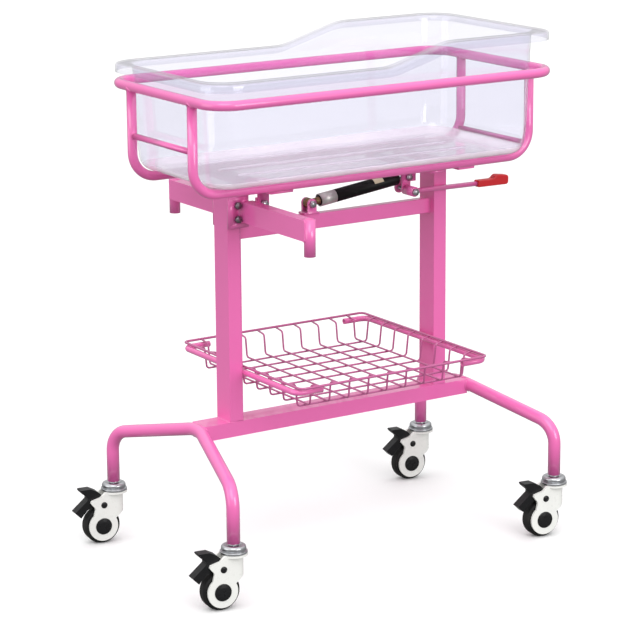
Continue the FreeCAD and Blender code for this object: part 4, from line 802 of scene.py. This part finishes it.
class BASSINET_OT_make_gas_spring(bpy.types.Operator):
    """Finish the gas spring and stick on its bare label"""
    bl_idname = "bassinet.make_gas_spring"
    bl_label = "Make gas spring"

    def execute(self, context):
        dress(("spring_cylinder",), finish("black_enamel", black_enamel))
        dress(("spring_sleeve",), finish("spring_alloy", satin_alloy))
        dress(("spring_rod",), finish("chrome_rod", polished_rod))
        foot = node_middle("spring_clevis_pin")
        foot.y = 0
        along = node_middle("spring_sleeve") - foot
        along.y = 0
        along.normalize()
        mesh = NODES["spring_cylinder"].data
        mesh.materials.append(finish("bronze_end", bronze))
        for face in mesh.polygons:
            if (face.center - foot).dot(along) < EYE_END:
                face.material_index = 1
        self.label(foot, along)
        return {"FINISHED"}

    def label(self, foot, along):
        """A paper label wrapped round part of the cylinder's upper front."""
        low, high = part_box("spring_cylinder")
        radius = (high.y - low.y) / 2
        front = Vector((0, -1, 0))
        top = along.cross(front)
        top = top if top.z > 0 else -top
        bm = bmesh.new()
        section = ((LABEL_START, LABEL_SINK), (LABEL_START, LABEL_LIFT), (LABEL_END, LABEL_LIFT),
                   (LABEL_END, LABEL_SINK))
        rings = []
        for step in range(LABEL_STEPS + 1):
            t = math.radians(LABEL_LOW_ANGLE + LABEL_STEP * step)
            outward = front * math.cos(t) + top * math.sin(t)
            rings.append([bm.verts.new(foot + along * run + outward * (radius + lift))
                          for run, lift in section])
        bridge(bm, rings)
        bm.faces.new(rings[0])
        bm.faces.new(rings[-1])
        new_piece("spring_label", mesh_from("spring_label", bm), "spring_cylinder",
                  finish("pale_label", pale_label), smooth=False)


class BASSINET_OT_make_lever(bpy.types.Operator):
    """Finish the release lever's grip"""
    bl_idname = "bassinet.make_lever"
    bl_label = "Make lever"

    def execute(self, context):
        round_off = context.scene.bassinet_finish.grip_round
        dress(("lever_grip",), finish("red_grip", red_grip), round_off)
        return {"FINISHED"}


class BASSINET_OT_make_casters(bpy.types.Operator):
    """Finish the casters' shells, wheels, caps and brake pedals"""
    bl_idname = "bassinet.make_casters"
    bl_label = "Make casters"

    def execute(self, context):
        sizes = context.scene.bassinet_finish
        pieces = (("caster_fork_", finish("white_shell", white_shell), sizes.shell_round),
                  ("caster_tyre_", finish("tread_rubber", tread_rubber), 0.0),
                  ("caster_hub_", finish("white_hub", white_shell), 0.0),
                  ("caster_pins_", finish("black_cap", black_cap), 0.0),
                  ("brake_pedal_", finish("black_plastic", black_plastic), sizes.pedal_round))
        for piece, material, round_off in pieces:
            dress([piece + corner for corner in CORNERS], material, round_off)
        return {"FINISHED"}


# name, direction towards it, spread in degrees, strength
WINDOW = ("window_light", (-0.5, -0.7, 0.9), 40, 0.8)
# name, place, width, power in watts
SOFTBOXES = (("left_softbox", (-3.0, 0.3, 1.1), 2.2, 20),
             ("front_softbox", (0.9, -4.4, 1.7), 2.2, 70))
LIT_POINT = Vector((0, 0, 0.5))     # the softboxes face it
# share of the way from straight down to straight up, brightness of the sky there
SKY = ((0.0, 0.25), (0.44, 0.4), (0.5, 0.4), (0.75, 0.9), (1.0, 1.4))
FLOOR_REACH = 40        # metres from the floor's middle to each side
SENSOR_WIDTH = 36       # millimetres
VIEW_DEPTH = 100        # metres


class BASSINET_OT_set_stage(bpy.types.Operator):
    """Lay the pale floor, soft lights and camera"""
    bl_idname = "bassinet.set_stage"
    bl_label = "Set stage"

    def execute(self, context):
        stage = context.scene.bassinet_stage
        bm = bmesh.new()
        bmesh.ops.create_grid(bm, x_segments=8, y_segments=8, size=FLOOR_REACH)
        mesh = mesh_from("studio_floor", bm)
        floor = bpy.data.objects.new("studio_floor", mesh)
        context.scene.collection.objects.link(floor)
        mesh.materials.append(floor_paint("studio_floor_paint"))
        floor.visible_diffuse = False
        floor.visible_glossy = False
        context.scene.view_settings.view_transform = "Standard"
        self.sky(context.scene)
        self.sun(*WINDOW)
        for softbox in SOFTBOXES:
            self.light(*softbox)
        self.camera(context.scene, stage)
        return {"FINISHED"}

    def camera(self, scene, stage):
        """A camera at the stage's position, turned by its three angles."""
        camera = bpy.data.cameras.new("studio_camera")
        camera.lens = stage.lens
        camera.sensor_width = SENSOR_WIDTH
        camera.clip_end = VIEW_DEPTH
        item = bpy.data.objects.new("studio_camera", camera)
        scene.collection.objects.link(item)
        around, above, roll = stage.azimuth, stage.elevation, stage.roll
        back = Vector((math.sin(around) * math.cos(above), -math.cos(around) * math.cos(above),
                       math.sin(above)))
        right = Vector((math.cos(around), math.sin(around), 0))
        up = back.cross(right)
        rolled_right = right * math.cos(roll) + up * math.sin(roll)
        rolled_up = up * math.cos(roll) - right * math.sin(roll)
        turn = Matrix((rolled_right, rolled_up, back)).transposed().to_4x4()
        item.matrix_world = Matrix.Translation(Vector(stage.position)) @ turn
        scene.camera = item

    def sky(self, scene):
        """Soft white surroundings: brightest overhead, dim below the floor."""
        world = bpy.data.worlds.new("studio_sky")
        scene.world = world
        world.use_nodes = True
        tree = world.node_tree
        place = tree.nodes.new("ShaderNodeTexCoord")
        split = tree.nodes.new("ShaderNodeSeparateXYZ")
        ramp = tree.nodes.new("ShaderNodeValToRGB")
        tree.links.new(place.outputs["Generated"], split.inputs["Vector"])
        height = tree.nodes.new("ShaderNodeMapRange")
        height.inputs["From Min"].default_value = -1
        tree.links.new(split.outputs["Z"], height.inputs["Value"])
        tree.links.new(height.outputs["Result"], ramp.inputs["Fac"])
        elements = ramp.color_ramp.elements
        for index, (share, level) in enumerate(SKY):
            stop = elements[index] if index < 2 else elements.new(share)
            stop.position = share
            stop.color = (level, level, level, 1)
        tree.links.new(ramp.outputs["Color"], tree.nodes["Background"].inputs["Color"])

    def sun(self, name, place, spread, strength):
        """A large, even light far away, seen in the given direction."""
        lamp = bpy.data.lights.new(name, "SUN")
        lamp.angle = math.radians(spread)
        lamp.energy = strength
        item = bpy.data.objects.new(name, lamp)
        bpy.context.scene.collection.objects.link(item)
        item.rotation_euler = Vector(place).to_track_quat("Z", "Y").to_euler()

    def light(self, name, place, size, power):
        """A square softbox turned towards the object."""
        lamp = bpy.data.lights.new(name, "AREA")
        lamp.shape = "SQUARE"
        lamp.size = size
        lamp.energy = power
        item = bpy.data.objects.new(name, lamp)
        bpy.context.scene.collection.objects.link(item)
        item.location = place
        item.rotation_euler = (LIT_POINT - Vector(place)).to_track_quat("-Z", "Y").to_euler()


STEPS = (
    BASSINET_OT_coat_frame,
    BASSINET_OT_lay_welds,
    BASSINET_OT_plate_fasteners,
    BASSINET_OT_make_tub,
    BASSINET_OT_make_gas_spring,
    BASSINET_OT_make_lever,
    BASSINET_OT_make_casters,
    BASSINET_OT_set_stage,
)


class BASSINET_PT_sidebar(bpy.types.Panel):
    """Steps and sizes of the bassinet"""
    bl_idname = "BASSINET_PT_sidebar"
    bl_label = "Hospital Bassinet"
    bl_space_type = "VIEW_3D"
    bl_region_type = "UI"
    bl_category = "Bassinet"

    def draw(self, context):
        column = self.layout.column(align=True)
        for step in STEPS:
            column.operator(step.bl_idname)
        for settings in (context.scene.bassinet_finish, context.scene.bassinet_tub,
                         context.scene.bassinet_stage):
            box = self.layout.box()
            for key in settings.bl_rna.properties.keys():
                if key not in ("rna_type", "name"):
                    box.prop(settings, key)


CLASSES = (FinishSettings, TubSettings, StageSettings, *STEPS, BASSINET_PT_sidebar)


def register():
    """Adds the settings, steps and panel."""
    for item in CLASSES:
        bpy.utils.register_class(item)
    bpy.types.Scene.bassinet_finish = PointerProperty(type=FinishSettings)
    bpy.types.Scene.bassinet_tub = PointerProperty(type=TubSettings)
    bpy.types.Scene.bassinet_stage = PointerProperty(type=StageSettings)


def unregister():
    """Takes the settings, steps and panel away again."""
    del bpy.types.Scene.bassinet_finish
    del bpy.types.Scene.bassinet_tub
    del bpy.types.Scene.bassinet_stage
    for item in reversed(CLASSES):
        bpy.utils.unregister_class(item)


def main():
    """Runs every step in order."""
    register()
    for step in STEPS:
        group, action = step.bl_idname.split(".")
        getattr(getattr(bpy.ops, group), action)()
    bpy.context.view_layer.update()


if __name__ == "__main__":
    main()
